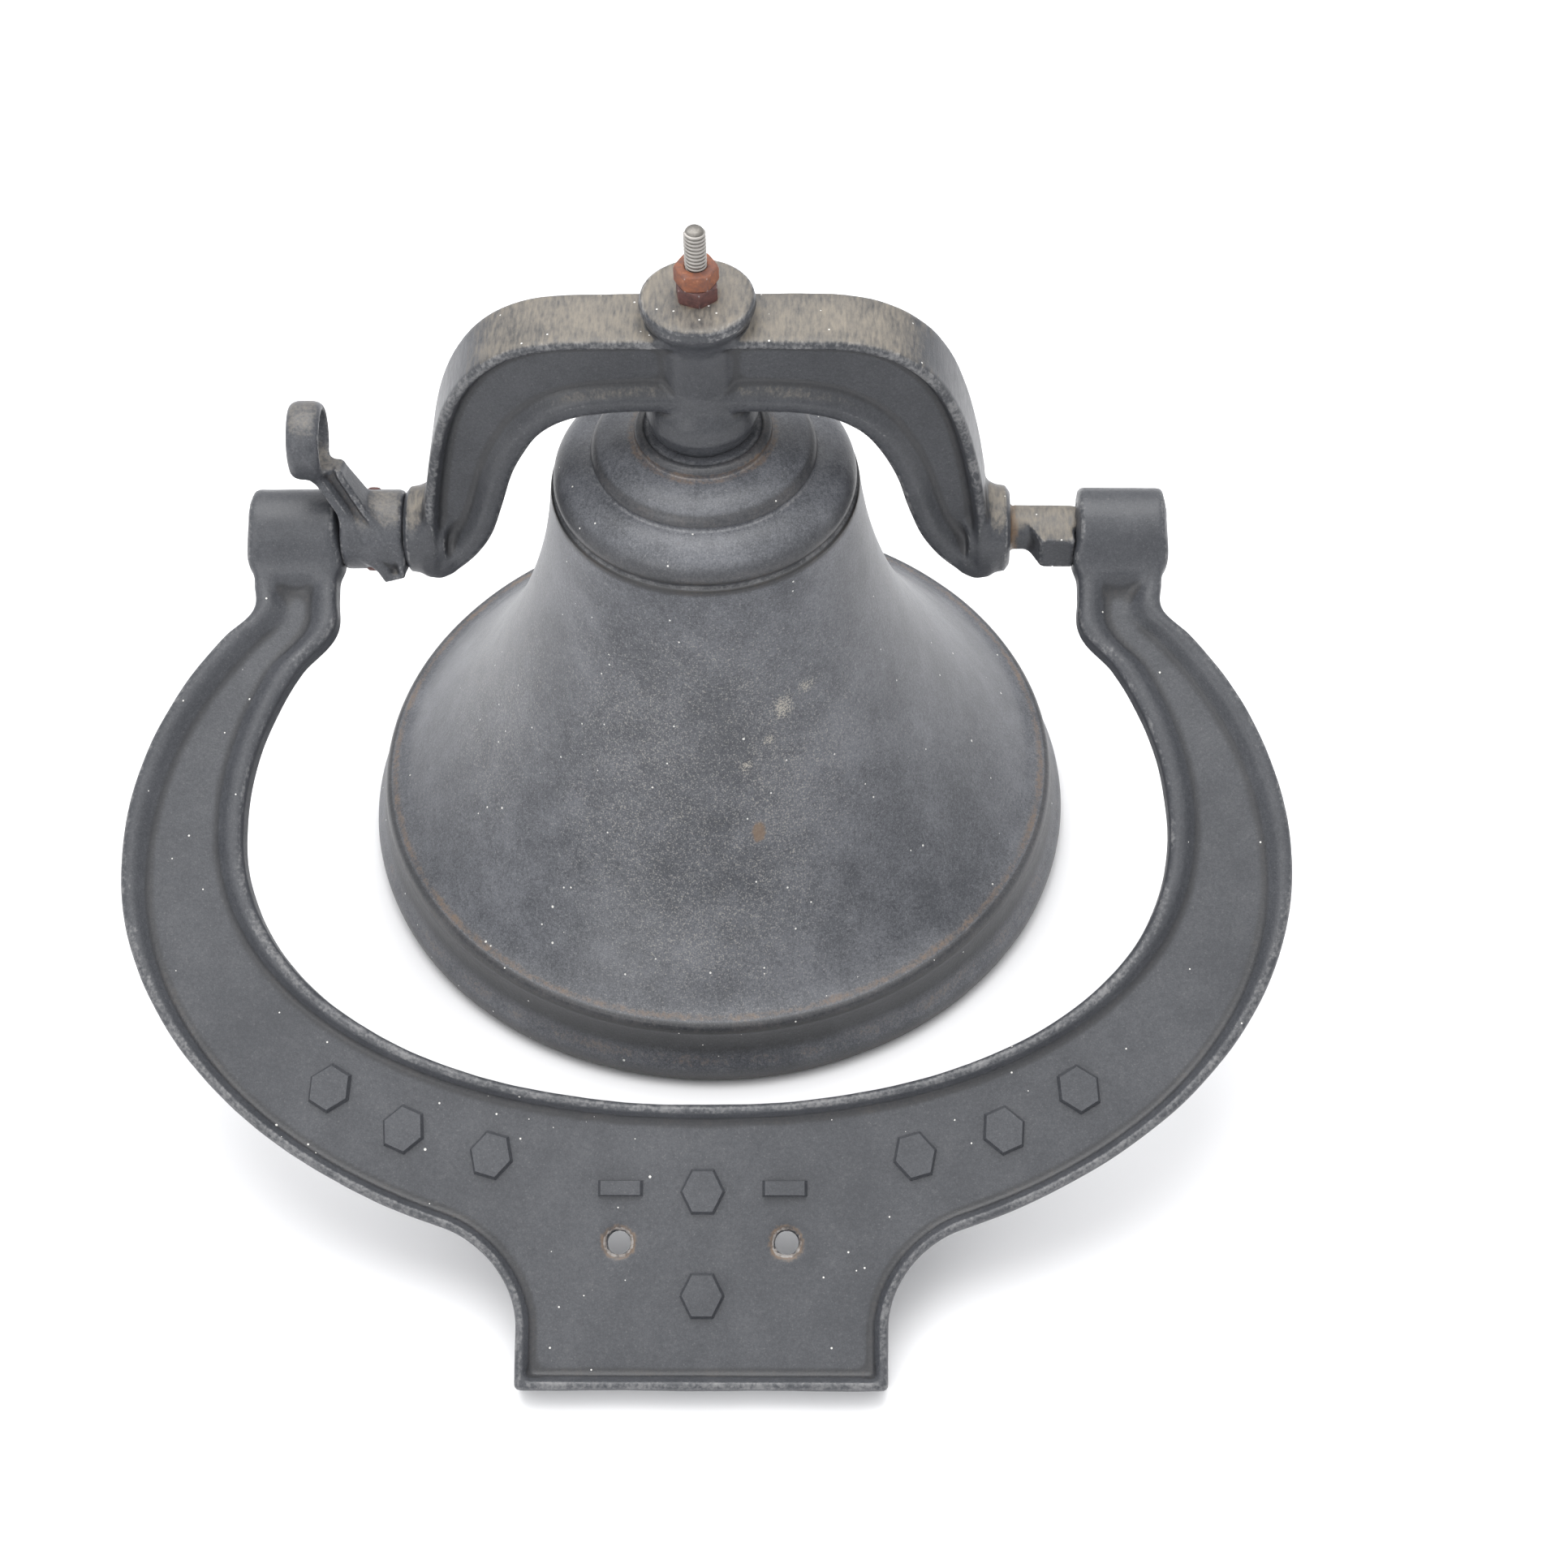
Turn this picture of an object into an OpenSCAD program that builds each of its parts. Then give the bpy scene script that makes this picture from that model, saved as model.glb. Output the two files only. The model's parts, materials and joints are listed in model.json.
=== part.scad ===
// Small cast-iron alarm bell: a flared bell hung from a yoke that rocks in a crescent cradle.
// It stands on its mouth and on the cradle's foot. +Z is up, +Y is away from the foot, and the
// origin lies on the standing surface under the middle of the whole object.

/* [Bell] */
// Radius of the bell at the widest part of its lip
mouth_r = 114.3; // [110:0.1:116]
// Thickness of the bell's wall at the waist
wall = 5.3; // [4:0.1:6.5]
// Radius of the bell's flat crown seat under the yoke
seat_r = 16.9; // [16.5:0.1:18]

/* [Yoke] */
// Height of the trunnion axis above the mouth
axis_h = 132; // [131:0.1:133]
// Height of the yoke's top face above the mouth
yoke_top = 217.2; // [214:0.1:219]
// Width of the yoke from front to back
yoke_w = 22; // [18:0.5:24]
// Depth of the hollows in the yoke's front and back faces
yoke_hollow = 4; // [2:0.5:6]
// Radius of the trunnions
trunnion_r = 6.4; // [6:0.1:7]

/* [Cradle] */
// Greatest half width of the cradle
cradle_half_w = 174; // [172:0.5:176]
// Distance from the trunnion axis to the end of the foot
cradle_len = 257; // [254:0.5:259]
// Thickness of the cradle over its raised rims
cradle_t = 11; // [10:0.5:12]
// Depth of the hollow between the rims
cradle_hollow = 4; // [2:0.5:5]
// Width of the raised rims
rim_w = 6; // [5:0.5:8]
// Half width of the foot
foot_half_w = 54; // [50:0.5:56]
// Distance between the two foot holes
hole_gap = 49; // [44:0.5:54]
// Radius of the foot holes
hole_r = 3.5; // [3.2:0.05:4]

/* [Lever] */
// Distance from the trunnion axis to the centre of the lever's eye
lever_len = 34; // [32:0.5:36]
// Backward lean of the lever from upright, in degrees
lever_lean = 6; // [2:1:10]
// Radius of the hole in the lever's eye
eye_r = 8.9; // [8:0.1:9.2]

/* [Clapper] */
// Height of the clapper's pivot above the mouth
pivot_h = 149; // [148:0.5:150]
// Distance from the pivot to the middle of the ball
clapper_len = 125; // [115:1:128]
// Radius of the clapper's ball
ball_r = 13; // [10:0.5:14]

/* [Hidden] */
$fn = 96;
small = 40;
eps = 0.01;

// Lean of the cradle from level, so that the back corner of its foot meets the ground
cradle_lean = asin(axis_h / norm([cradle_len, cradle_t / 2])) - atan(cradle_t / 2 / cradle_len);
foot_reach = cradle_len * cos(cradle_lean) + cradle_t / 2 * sin(cradle_lean);
// The object's middle lies between the foot's front corner and the back of the lip
middle = (foot_reach - mouth_r) / 2;

module standing() {
    translate([0, middle, 0]) children();
}

// ---- outlines ----------------------------------------------------------------------------

function mirrored(half) = concat(half, [for (i = [len(half) - 1:-1:0]) [-half[i][0], half[i][1]]]);

// Points of an arc about c, from angle a to angle b
function arc(c, r, a, b, steps) =
    [for (i = [0:steps]) c + r * [cos(a + (b - a) * i / steps), sin(a + (b - a) * i / steps)]];

// Points of an egg about c: half width w, up above its middle and down below it. A power over 2
// squares the shape.
function egg(c, w, up, down, power, a, b, steps) =
    [for (i = [0:steps]) let (t = a + (b - a) * i / steps, s = sin(t), p = s < 0 ? power : 2)
        c + [w * sign(cos(t)) * pow(abs(cos(t)), 2 / p), (s < 0 ? down : up) * sign(s) * pow(abs(s), 2 / p)]];

// ---- cradle ------------------------------------------------------------------------------

boss_r = 12.1;
boss_in = 112;
boss_out = 139;
bore_r = trunnion_r + 0.08;
arm_out = boss_out - 2;
foot_fillet = 22;
hole_y = -214.6;
outer_mid = -104;
inner_mid = -93;
loop_half_w = 137.8;
loop_down = 81.8;

// Outline of the cradle, drawn d inside its edges, with its arms cut off at the height top
function cradle_outline(d, top) =
    let (
        outer = concat([[arm_out - d, top]],
            egg([0, outer_mid], cradle_half_w - d, 127 - d, 118.5 - d, 2, 37, -63, 34),
            arc([foot_half_w + foot_fillet, -233], foot_fillet + d, 100, 180, 8),
            [[foot_half_w - d, d - cradle_len]]),
        inner = concat([[0, inner_mid - loop_down - d]],
            egg([0, inner_mid], loop_half_w + d, 106.5 + d, loop_down + d, 2.15, -84, 32, 36),
            [[boss_in + d, top]]))
    concat(outer, [for (i = [len(outer) - 1:-1:0]) [-outer[i][0], outer[i][1]]],
        [for (i = [len(inner) - 1:-1:1]) [-inner[i][0], inner[i][1]]], inner);

// Plain cast marks along the lower rim: distance along X, distance below the axis, turn
marks = [[110, -170, 32], [88, -182, 24], [62, -189.5, 16]];

module lozenge(h) {
    linear_extrude(h) polygon([[-3.5, -5], [3.5, -5], [5, 0], [3.5, 5], [-3.5, 5], [-5, 0]]);
}

module cradle() {
    web_top = cradle_t / 2 - cradle_hollow;
    mark_h = 1;
    color("dimgray") standing() translate([0, 0, axis_h]) rotate([cradle_lean, 0, 0]) difference() {
        union() {
            difference() {
                translate([0, 0, -cradle_t / 2]) linear_extrude(cradle_t) polygon(cradle_outline(0, 0));
                translate([0, 0, web_top]) linear_extrude(cradle_t) polygon(cradle_outline(rim_w, -18));
            }
            for (side = [-1, 1]) {
                translate([side * (boss_in + boss_out) / 2, 0, 0]) rotate([0, 90, 0])
                    cylinder(r = boss_r, h = boss_out - boss_in, center = true);
                for (m = marks)
                    translate([side * m[0], m[1], web_top - eps]) rotate(side * m[2]) lozenge(mark_h);
                translate([side * 24, -199, web_top - eps]) linear_extrude(mark_h) square([13, 4.4], center = true);
            }
            for (y = [-200, -230])
                translate([0, y, web_top - eps]) lozenge(mark_h);
        }
        rotate([0, 90, 0]) cylinder(r = bore_r, h = 3 * boss_out, center = true);
        for (side = [-1, 1]) translate([side * hole_gap / 2, hole_y, 0]) {
            cylinder(r = hole_r, h = 2 * cradle_t, center = true, $fn = small);
            translate([0, 0, web_top - 1.2]) cylinder(r1 = hole_r, r2 = hole_r + 2.4, h = 2.4, $fn = small);
        }
    }
}

// ---- bell --------------------------------------------------------------------------------

crown_h = 175;
bolt_hole_r = 3.6;
// The waist is one hollow arc about a point far outside the bell
waist_c = [253.8, 170.1];
waist_r = 208.3;

module bell() {
    // Upward from the lip's foot, out over the lip, up the waist and in over the crown
    outside = concat([[mouth_r - 2.9, 0], [mouth_r - 0.8, 2], [mouth_r, 5], [mouth_r - 1.9, 11],
            [mouth_r - 2.9, 15], [mouth_r - 4.1, 21], [mouth_r - 6.4, 24.4]],
        arc(waist_c, waist_r, 223.5, 185, 30),
        [[45.2, 153.4], [43.4, 156.8], [40, 160.4], [34, 165.6], [33.2, 167.6], [31.6, 168.9],
            [24, 171.8], [19.8, 173.2], [19.4, 175.2], [18.4, 175.9], [17.4, 175.7], [seat_r, crown_h]]);
    inside = concat([[bolt_hole_r, crown_h], [bolt_hole_r, 167.5], [20, 167], [29, 163.6], [36, 158.5]],
        arc(waist_c, waist_r + wall, 185, 221.5, 28), [[100.4, 10], [102.4, 3], [103.6, 0]]);
    color("slategray") standing() rotate_extrude() polygon(concat(outside, inside));
}

// ---- yoke --------------------------------------------------------------------------------

boss_bottom = crown_h;
disc_top = 224.9;
flange_in = 83;
flange_out = 91;
corner_c = [43.5, 184.5];

// Right half of the arch, drawn d1 inside its outer edge and d2 inside its inner edge
function arch_half(d1, d2, end) = concat(
    [[0, yoke_top - d1]],
    arc(corner_c, yoke_top - corner_c[1] - d1, 90, 10, 9),
    [[84.6 - d1, 143], [84.6 - d1, end], [78 - d2 / 2, end + 2], [69.4 - d2, 131], [64.2 - d2, 138],
        [61.4 - d2, 146], [55.6 - d2, 165.6]],
    arc([30, 167.5], 22.5 + d2, 10, 82, 6),
    [[24, 189.6 + d2], [0, 189.6 + d2]]);

module arch(d1, d2, end, h) {
    rotate([90, 0, 0]) linear_extrude(h, center = true) {
        half = arch_half(d1, d2, end);
        polygon(concat(half, [for (i = [len(half) - 1:-1:0]) [-half[i][0], half[i][1]]]));
    }
}

module trunnion(lug) {
    lug_y = 11;
    lug_h = 5.4;
    translate([0, 0, axis_h]) {
        rotate([0, 90, 0]) rotate_extrude() polygon([[0, flange_in - 4], [12, flange_in - 4],
            [12.8, flange_in], [13.2, flange_in + 3], [12.6, flange_out - 1.2], [11, flange_out],
            [trunnion_r, flange_out], [trunnion_r, boss_out - 3], [trunnion_r - 1, boss_out - 2],
            [0, boss_out - 2]]);
        if (lug) linear_extrude(2 * lug_h, center = true) polygon([[97.5, -4], [102.5, -lug_y],
            [110, -lug_y], [boss_in - 1.2, -4], [boss_in - 1.2, 4], [97.5, 4]]);
    }
}

module yoke() {
    web = yoke_w - 2 * yoke_hollow;
    rim = 3.6;
    color("gray") standing() difference() {
        union() {
            difference() {
                arch(0, 0, 120, yoke_w);
                for (side = [-1, 1]) translate([0, side * (web / 2 + yoke_w / 2), 0])
                    arch(rim, 7, 126, yoke_w);
            }
            arch_boss();
            trunnion(true);
            mirror([1, 0, 0]) trunnion(false);
        }
        translate([0, 0, boss_bottom - 1]) cylinder(r = bolt_hole_r, h = disc_top - boss_bottom + 2, $fn = small);
        lever_pin_hole();
    }
}

module arch_boss() {
    rotate_extrude() polygon([[0, boss_bottom], [12.5, boss_bottom], [15, 177], [15.6, 180], [15, 183],
        [12.4, 188], [12, 194], [12, 212], [13, 216], [15.6, 220], [16.4, 222.4], [16, 224.2],
        [15, disc_top], [0, disc_top]]);
}

// ---- lever -------------------------------------------------------------------------------

hub_in = 91.6;
hub_out = 110.6;
hub_r = 12;
eye_x = 117.8;
eye_w = 10.8;
eye_wall = 2.8;
pin_r = 2.2;
pin_x = 101.5;
pin_turn = 38;

// The pin crosses the hub and the trunnion, sloping down towards the front
module pin_place() {
    translate([-pin_x, 0, axis_h]) rotate([90 + pin_turn, 0, 0]) children();
}

module lever_pin_hole() {
    pin_place() cylinder(r = pin_r + 0.02, h = 3 * hub_r, center = true, $fn = small);
}

module pull_lever() {
    // The arm stays below the line of the eye's hole, so that the hole is as long as the eye is wide
    arm_top = lever_len - eye_r - 0.5;
    color("dimgray") standing() difference() {
        union() {
            translate([-hub_out, 0, axis_h]) rotate([0, 90, 0]) cylinder(r = hub_r, h = hub_out - hub_in);
            translate([0, 0, axis_h]) rotate([-lever_lean, 0, 0]) {
                translate([0, -1.5, 0]) rotate([90, 0, 0]) linear_extrude(9, center = true)
                    polygon([[-93, -6], [-92.2, 8], [-eye_x + 11, arm_top], [-eye_x + eye_w / 2, arm_top],
                        [-eye_x, lever_len - eye_r - 1], [-eye_x, lever_len - 10], [-eye_x + 2, lever_len - 12],
                        [-107, 8]]);
                translate([-eye_x, 0, lever_len]) rotate([0, 90, 0])
                    cylinder(r = eye_r + eye_wall, h = eye_w, center = true);
            }
        }
        translate([-hub_out - 1, 0, axis_h]) rotate([0, 90, 0])
            cylinder(r = trunnion_r + 0.05, h = hub_out - hub_in + 2);
        translate([0, 0, axis_h]) rotate([-lever_lean, 0, 0]) translate([-eye_x, 0, lever_len])
            rotate([0, 90, 0]) cylinder(r = eye_r, h = 3 * eye_w, center = true);
        lever_pin_hole();
    }
}

module lever_pin() {
    color("sienna") standing() pin_place() cylinder(r = pin_r, h = 2 * hub_r + 1.2, center = true, $fn = small);
}

// ---- hanger bolt, nuts and clapper ---------------------------------------------------------

bolt_r = 3.175;
bolt_top = 249;
nut_flat = 11.1;
nut_h = 5.6;
washer_t = 2;
inner_top = 167;
fork_gap = 6;
fork_cheek = 4;
clapper_pin_r = 2.5;

module nut(z, turn) {
    translate([0, 0, z]) difference() {
        rotate(turn) cylinder(r = nut_flat / 2 / cos(30), h = nut_h, $fn = 6);
        translate([0, 0, -1]) cylinder(r = bolt_r + 0.03, h = nut_h + 2, $fn = small);
    }
}

module hanger_bolt() {
    fork_w = fork_gap + 2 * fork_cheek;
    fork_d = 13;
    color("silver") standing() difference() {
        union() {
            translate([0, 0, pivot_h]) cylinder(r = bolt_r, h = bolt_top - pivot_h - 1, $fn = small);
            translate([0, 0, bolt_top - 1]) cylinder(r1 = bolt_r, r2 = bolt_r - 0.8, h = 1, $fn = small);
            translate([-fork_w / 2, -fork_d / 2, pivot_h]) cube([fork_w, fork_d, 9.5]);
            translate([0, 0, pivot_h]) rotate([0, 90, 0])
                cylinder(r = fork_d / 2, h = fork_w, center = true, $fn = small);
        }
        translate([-fork_gap / 2, -fork_d, pivot_h - fork_d]) cube([fork_gap, 2 * fork_d, fork_d + 6.6]);
        translate([0, 0, pivot_h]) rotate([0, 90, 0])
            cylinder(r = clapper_pin_r + 0.02, h = 2 * fork_w, center = true, $fn = small);
    }
}

module crown_nut() {
    color("sienna") standing() nut(disc_top, 8);
}

module lock_nut() {
    color("peru") standing() nut(disc_top + nut_h, 31);
}

module inner_washer() {
    color("darkgray") standing() translate([0, 0, inner_top - washer_t]) difference() {
        cylinder(r = 11.5, h = washer_t);
        translate([0, 0, -1]) cylinder(r = bolt_r + 0.2, h = washer_t + 2, $fn = small);
    }
}

module inner_nut() {
    color("darkgray") standing() nut(inner_top - washer_t - nut_h, 0);
}

pin_end = 9.5;

module clapper_pin() {
    color("darkgray") standing() translate([0, 0, pivot_h]) rotate([0, 90, 0]) difference() {
        union() {
            translate([0, 0, -7]) cylinder(r = clapper_pin_r, h = 7 + pin_end, $fn = small);
            translate([0, 0, -9.5]) cylinder(r = 4.4, h = 2.5, $fn = small);
        }
        translate([0, 0, 8.2]) rotate([90, 0, 0]) cylinder(r = 0.72, h = 20, center = true, $fn = small);
    }
}

module clapper_cotter() {
    color("darkgray") standing() translate([8.2, 0, pivot_h]) {
        rotate([90, 0, 0]) cylinder(r = 0.7, h = 11, center = true, $fn = small);
        translate([0, -6.7, 0]) rotate([0, 90, 0]) rotate_extrude($fn = small) translate([1.6, 0]) circle(r = 0.7, $fn = 16);
    }
}

module clapper_rod() {
    eye = 6.2;
    color("dimgray") standing() difference() {
        union() {
            translate([0, 0, pivot_h]) rotate([0, 90, 0])
                cylinder(r = eye, h = fork_gap - 0.8, center = true, $fn = small);
            translate([0, 0, pivot_h - clapper_len + ball_r - 1])
                cylinder(r1 = 4.2, r2 = 2.6, h = clapper_len - ball_r - eye + 2, $fn = small);
        }
        translate([0, 0, pivot_h]) rotate([0, 90, 0])
            cylinder(r = clapper_pin_r + 0.08, h = 20, center = true, $fn = small);
        translate([0, 0, pivot_h - clapper_len]) sphere(r = ball_r);
    }
}

module clapper_ball() {
    color("dimgray") standing() translate([0, 0, pivot_h - clapper_len]) {
        sphere(r = ball_r);
        translate([0, 0, -ball_r - 2]) cylinder(r = 4, h = 6, $fn = small);
    }
}

cradle();
bell();
yoke();
pull_lever();
lever_pin();
hanger_bolt();
crown_nut();
lock_nut();
inner_washer();
inner_nut();
clapper_pin();
clapper_cotter();
clapper_rod();
clapper_ball();
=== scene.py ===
import json
import math
from types import SimpleNamespace

import bpy
import numpy as np
from mathutils import Matrix, Vector


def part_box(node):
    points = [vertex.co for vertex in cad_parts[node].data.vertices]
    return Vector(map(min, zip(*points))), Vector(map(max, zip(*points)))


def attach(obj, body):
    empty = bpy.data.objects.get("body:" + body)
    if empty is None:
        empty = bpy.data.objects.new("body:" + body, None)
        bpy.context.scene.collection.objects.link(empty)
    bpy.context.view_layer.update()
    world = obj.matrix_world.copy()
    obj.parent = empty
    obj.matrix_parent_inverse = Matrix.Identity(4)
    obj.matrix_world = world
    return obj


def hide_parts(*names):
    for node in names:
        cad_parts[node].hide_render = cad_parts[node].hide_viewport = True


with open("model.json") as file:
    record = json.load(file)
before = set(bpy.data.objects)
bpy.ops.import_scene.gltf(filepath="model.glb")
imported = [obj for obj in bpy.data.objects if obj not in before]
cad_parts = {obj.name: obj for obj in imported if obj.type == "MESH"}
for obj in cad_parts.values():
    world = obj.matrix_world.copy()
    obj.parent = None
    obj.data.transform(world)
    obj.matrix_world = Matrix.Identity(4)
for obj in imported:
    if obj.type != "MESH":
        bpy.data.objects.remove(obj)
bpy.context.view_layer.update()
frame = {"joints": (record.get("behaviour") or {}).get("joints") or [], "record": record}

bl_info = {
    "name": "Alarm bell in a crescent cradle",
    "version": (1, 0, 0),
    "blender": (4, 5, 0),
    "location": "3D View > Sidebar > Alarm bell",
    "description": "Builds the visible pieces of a cast-iron alarm bell around its packed frame",
    "category": "Object",
}

# Shapes are drawn in millimetres about the bell's own axes, and made in metres.
MM = 0.001
JOINTS = {joint["name"]: joint for joint in frame["joints"]}
MOUNTS = {mount["name"]: mount for mount in frame["record"]["mounts"]}
AXIS = Vector(JOINTS["bell_swing"]["pos_m"]) / MM
PIVOT = Vector(JOINTS["clapper_swing"]["pos_m"]) / MM
BOLT_AXIS = Vector(MOUNTS["foot_bolt_left"]["axis"])
LEAN = math.atan2(-BOLT_AXIS.y, BOLT_AXIS.z)
DISC_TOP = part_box("crown_nut")[0].z / MM
NUT_HEIGHT = (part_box("crown_nut")[1].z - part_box("crown_nut")[0].z) / MM
BOLT_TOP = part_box("hanger_bolt")[1].z / MM
WASHER_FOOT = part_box("inner_washer")[0].z / MM
LEVER_EYE = Vector(MOUNTS["lever_eye"]["pos_m"]) / MM - AXIS
LEVER_LEAN = math.atan2(LEVER_EYE.y, LEVER_EYE.z)
LEVER_LENGTH = math.hypot(LEVER_EYE.y, LEVER_EYE.z)


def framed(x, y, z, turn=0.0):
    """Where a shape drawn in millimetres goes: its origin, and its turn about X."""
    return (Matrix.Translation(Vector((x, y, z)) * MM)
            @ Matrix.Rotation(turn, 4, "X") @ Matrix.Scale(MM, 4))


STANDING = framed(0, AXIS.y, 0)
LEANING = framed(0, AXIS.y, AXIS.z, LEAN)


# ---- settings ----------------------------------------------------------------------------

def size(name, value, note, low=0.1, high=400.0):
    """A length, given here in millimetres and kept in the scene's own unit."""
    return bpy.props.FloatProperty(name=name, default=value * MM, min=low * MM, max=high * MM, precision=5,
                                   subtype="DISTANCE", unit="LENGTH", description=note)


def settings(group):
    """A group's values, with its lengths turned back into millimetres."""
    values = {}
    for name in group.__annotations__:
        value = getattr(group, name)
        values[name] = value / MM if group.bl_rna.properties[name].unit == "LENGTH" else value
    return SimpleNamespace(**values)


def share(name, value, note, high=1.0):
    """A number from none to full."""
    return bpy.props.FloatProperty(name=name, default=value, min=0.0, max=high, subtype="FACTOR",
                                   description=note)


def colour(name, value, note):
    """A colour in linear light."""
    return bpy.props.FloatVectorProperty(name=name, default=value, min=0.0, max=1.0, size=3,
                                         subtype="COLOR", description=note)


class CradleSettings(bpy.types.PropertyGroup):
    """Sizes of the crescent cradle."""
    half_width: size("Half width", 174.0, "Half of the crescent's greatest width")
    thickness: size("Thickness", 11.0, "Thickness over the raised rims")
    hollow: size("Hollow", 4.0, "Depth of the web below the rims")
    crest: size("Rim crest", 3.0, "Width of a rim's flat crest")
    slope: size("Rim slope", 6.0, "Width of the slope from a rim to the web")
    length: size("Length", 257.0, "From the trunnion axis to the end of the foot")
    foot: size("Foot", 54.0, "Half width of the foot")
    edge: size("Edge", 2.8, "Rounding of the casting's edges")
    grid: size("Grid", 1.15, "Spacing of the mesh")


class BellSettings(bpy.types.PropertyGroup):
    """Sizes of the bell."""
    mouth: size("Mouth radius", 114.3, "Radius at the widest part of the lip")
    wall: size("Wall", 5.3, "Thickness of the wall at the waist")
    sides: bpy.props.IntProperty(name="Sides", default=240, min=32, max=512,
                                 description="Number of steps around the bell")
    unevenness: size("Unevenness", 0.22, "Height of the waves left by the mould", 0.0)


class YokeSettings(bpy.types.PropertyGroup):
    """Sizes of the yoke."""
    top: size("Top", 217.2, "Height of the yoke's top face above the mouth")
    width: size("Width", 22.0, "Width from front to back")
    hollow: size("Hollow", 4.0, "Depth of the hollows in the front and back faces")
    trunnion: size("Trunnion radius", 6.4, "Radius of the trunnions")
    grid: size("Grid", 0.9, "Spacing of the mesh")


class LeverSettings(bpy.types.PropertyGroup):
    """Sizes of the pull lever."""
    hub: size("Hub radius", 12.0, "Radius of the hub")
    eye: size("Eye radius", 8.9, "Radius of the hole in the eye")
    eye_wall: size("Eye wall", 2.8, "Thickness of the ring around the eye")
    eye_width: size("Eye width", 10.8, "Width of the ring around the eye")
    grid: size("Grid", 0.5, "Spacing of the mesh")


class FittingSettings(bpy.types.PropertyGroup):
    """Sizes of the bolt, the nuts and the clapper."""
    bolt: size("Bolt radius", 3.175, "Radius over the bolt's thread")
    pitch: size("Thread pitch", 1.27, "Rise of the thread in one turn")
    nut: size("Nut", 11.1, "Distance across the flats of a nut")
    clapper: size("Clapper length", 125.0, "From the pivot to the middle of the ball")
    ball: size("Ball radius", 13.0, "Radius of the clapper's ball")


class FinishSettings(bpy.types.PropertyGroup):
    """Colours of the finishes."""
    paint: colour("Paint", (0.062, 0.066, 0.076), "Old blue-grey paint")
    paint_pale: colour("Pale paint", (0.128, 0.132, 0.145), "The same paint where it has chalked")
    dust: colour("Dust", (0.27, 0.235, 0.185), "Dust that lies on faces that look up")
    # Painted shade: a dark colour laid into hollows, creases and under the bell's lip, where shade falls.
    painted_shade: colour("Painted shade", (0.017, 0.017, 0.018), "Dark grime in corners and under the lip")
    grit: colour("Grit", (0.33, 0.31, 0.27), "Fine pale grains that cling to chalked paint")
    fleck: colour("Fleck", (0.62, 0.61, 0.58), "Pale specks")
    bare: colour("Bare iron", (0.36, 0.355, 0.35), "Iron worn bare along edges")
    rust: colour("Rust", (0.23, 0.085, 0.035), "Rust on steel")
    stain: colour("Stain", (0.17, 0.108, 0.062), "Brown stain in corners of painted iron")
    zinc: colour("Zinc", (0.42, 0.40, 0.375), "Dull plated thread")
    oiled: colour("Oiled iron", (0.07, 0.065, 0.058), "Dark iron inside the bell")


class StageSettings(bpy.types.PropertyGroup):
    """The studio around the bell."""
    lens: bpy.props.FloatProperty(name="Lens", default=70.31, min=20.0, max=200.0,
                                  description="Focal length in mm on a sensor 36 mm wide")
    fill: share("Fill", 1.45, "Strength of the light from all round", 3.0)
    side: colour("Side light", (0.44, 0.45, 0.47), "Light from near the horizon, against white overhead")
    top: bpy.props.FloatProperty(name="Top light", default=16.0, min=0.0, max=200.0, unit="POWER",
                                 description="Power of the wide light overhead")
    floor: colour("Floor", (0.93, 0.93, 0.94), "Pale floor")


# ---- distances: negative inside a shape, in millimetres -----------------------------------

def join(a, b, r):
    """Both shapes as one, with a fillet of about r between them."""
    near = np.maximum(r - np.abs(a - b), 0) / r
    return np.minimum(a, b) - near * near * r / 4


def meet(a, b, r):
    """What both shapes share, with its edge rounded by about r."""
    return -join(-a, -b, r)


def cut(a, b, r):
    """The first shape without the second."""
    return meet(a, -b, r)


def filleted(a, b, r):
    """Both shapes as one, with an arc of radius r between them."""
    return np.maximum(r, np.minimum(a, b)) - np.hypot(np.maximum(r - a, 0), np.maximum(r - b, 0))


def ease(low, high, value):
    """0 below low, 1 above high, and an S between."""
    t = np.clip((value - low) / (high - low), 0, 1)
    return t * t * (3 - 2 * t)


def drum(across, along, r, half, edge):
    """A round bar: across is the distance from its axis, along the place on it."""
    return meet(across - r, np.abs(along) - half, edge)


def outlined(a, b, outline):
    """Signed distance to a closed outline in the plane of a and b."""
    points = np.array(outline, float)
    before = np.roll(points, 1, axis=0)
    nearest = np.full(np.broadcast(a, b).shape, 1e9)
    inside = np.zeros(nearest.shape, bool)
    for (x0, y0), (x1, y1) in zip(before, points):
        dx, dy = x1 - x0, y1 - y0
        if dx == 0 and dy == 0:
            continue
        t = np.clip(((a - x0) * dx + (b - y0) * dy) / (dx * dx + dy * dy), 0, 1)
        nearest = np.minimum(nearest, (a - x0 - t * dx) ** 2 + (b - y0 - t * dy) ** 2)
        if dy != 0:
            crosses = ((y0 > b) != (y1 > b)) & (a < dx * (b - y0) / dy + x0)
            inside ^= crosses
    return np.where(inside, -1, 1) * np.sqrt(nearest)


def egg(x, y, middle, half_width, up, down, power):
    """About the distance to an egg, squared up by a power over 2 below its middle."""
    rise = y - middle
    reach = np.where(rise > 0, up, down)
    p = np.where(rise > 0, 2.0, power)
    u = np.abs(x) / half_width
    v = np.abs(rise) / reach
    total = np.maximum(u ** p + v ** p, 1e-9)
    slope = total ** (1 / p - 1) * np.hypot(u ** (p - 1) / half_width, v ** (p - 1) / reach)
    return (total ** (1 / p) - 1) / np.maximum(slope, 1e-5)


def arc(cx, cy, r, start, end, steps):
    """Points of an arc, with its angles in degrees."""
    angles = np.radians(np.linspace(start, end, steps + 1))
    return [(cx + r * math.cos(t), cy + r * math.sin(t)) for t in angles]


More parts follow.
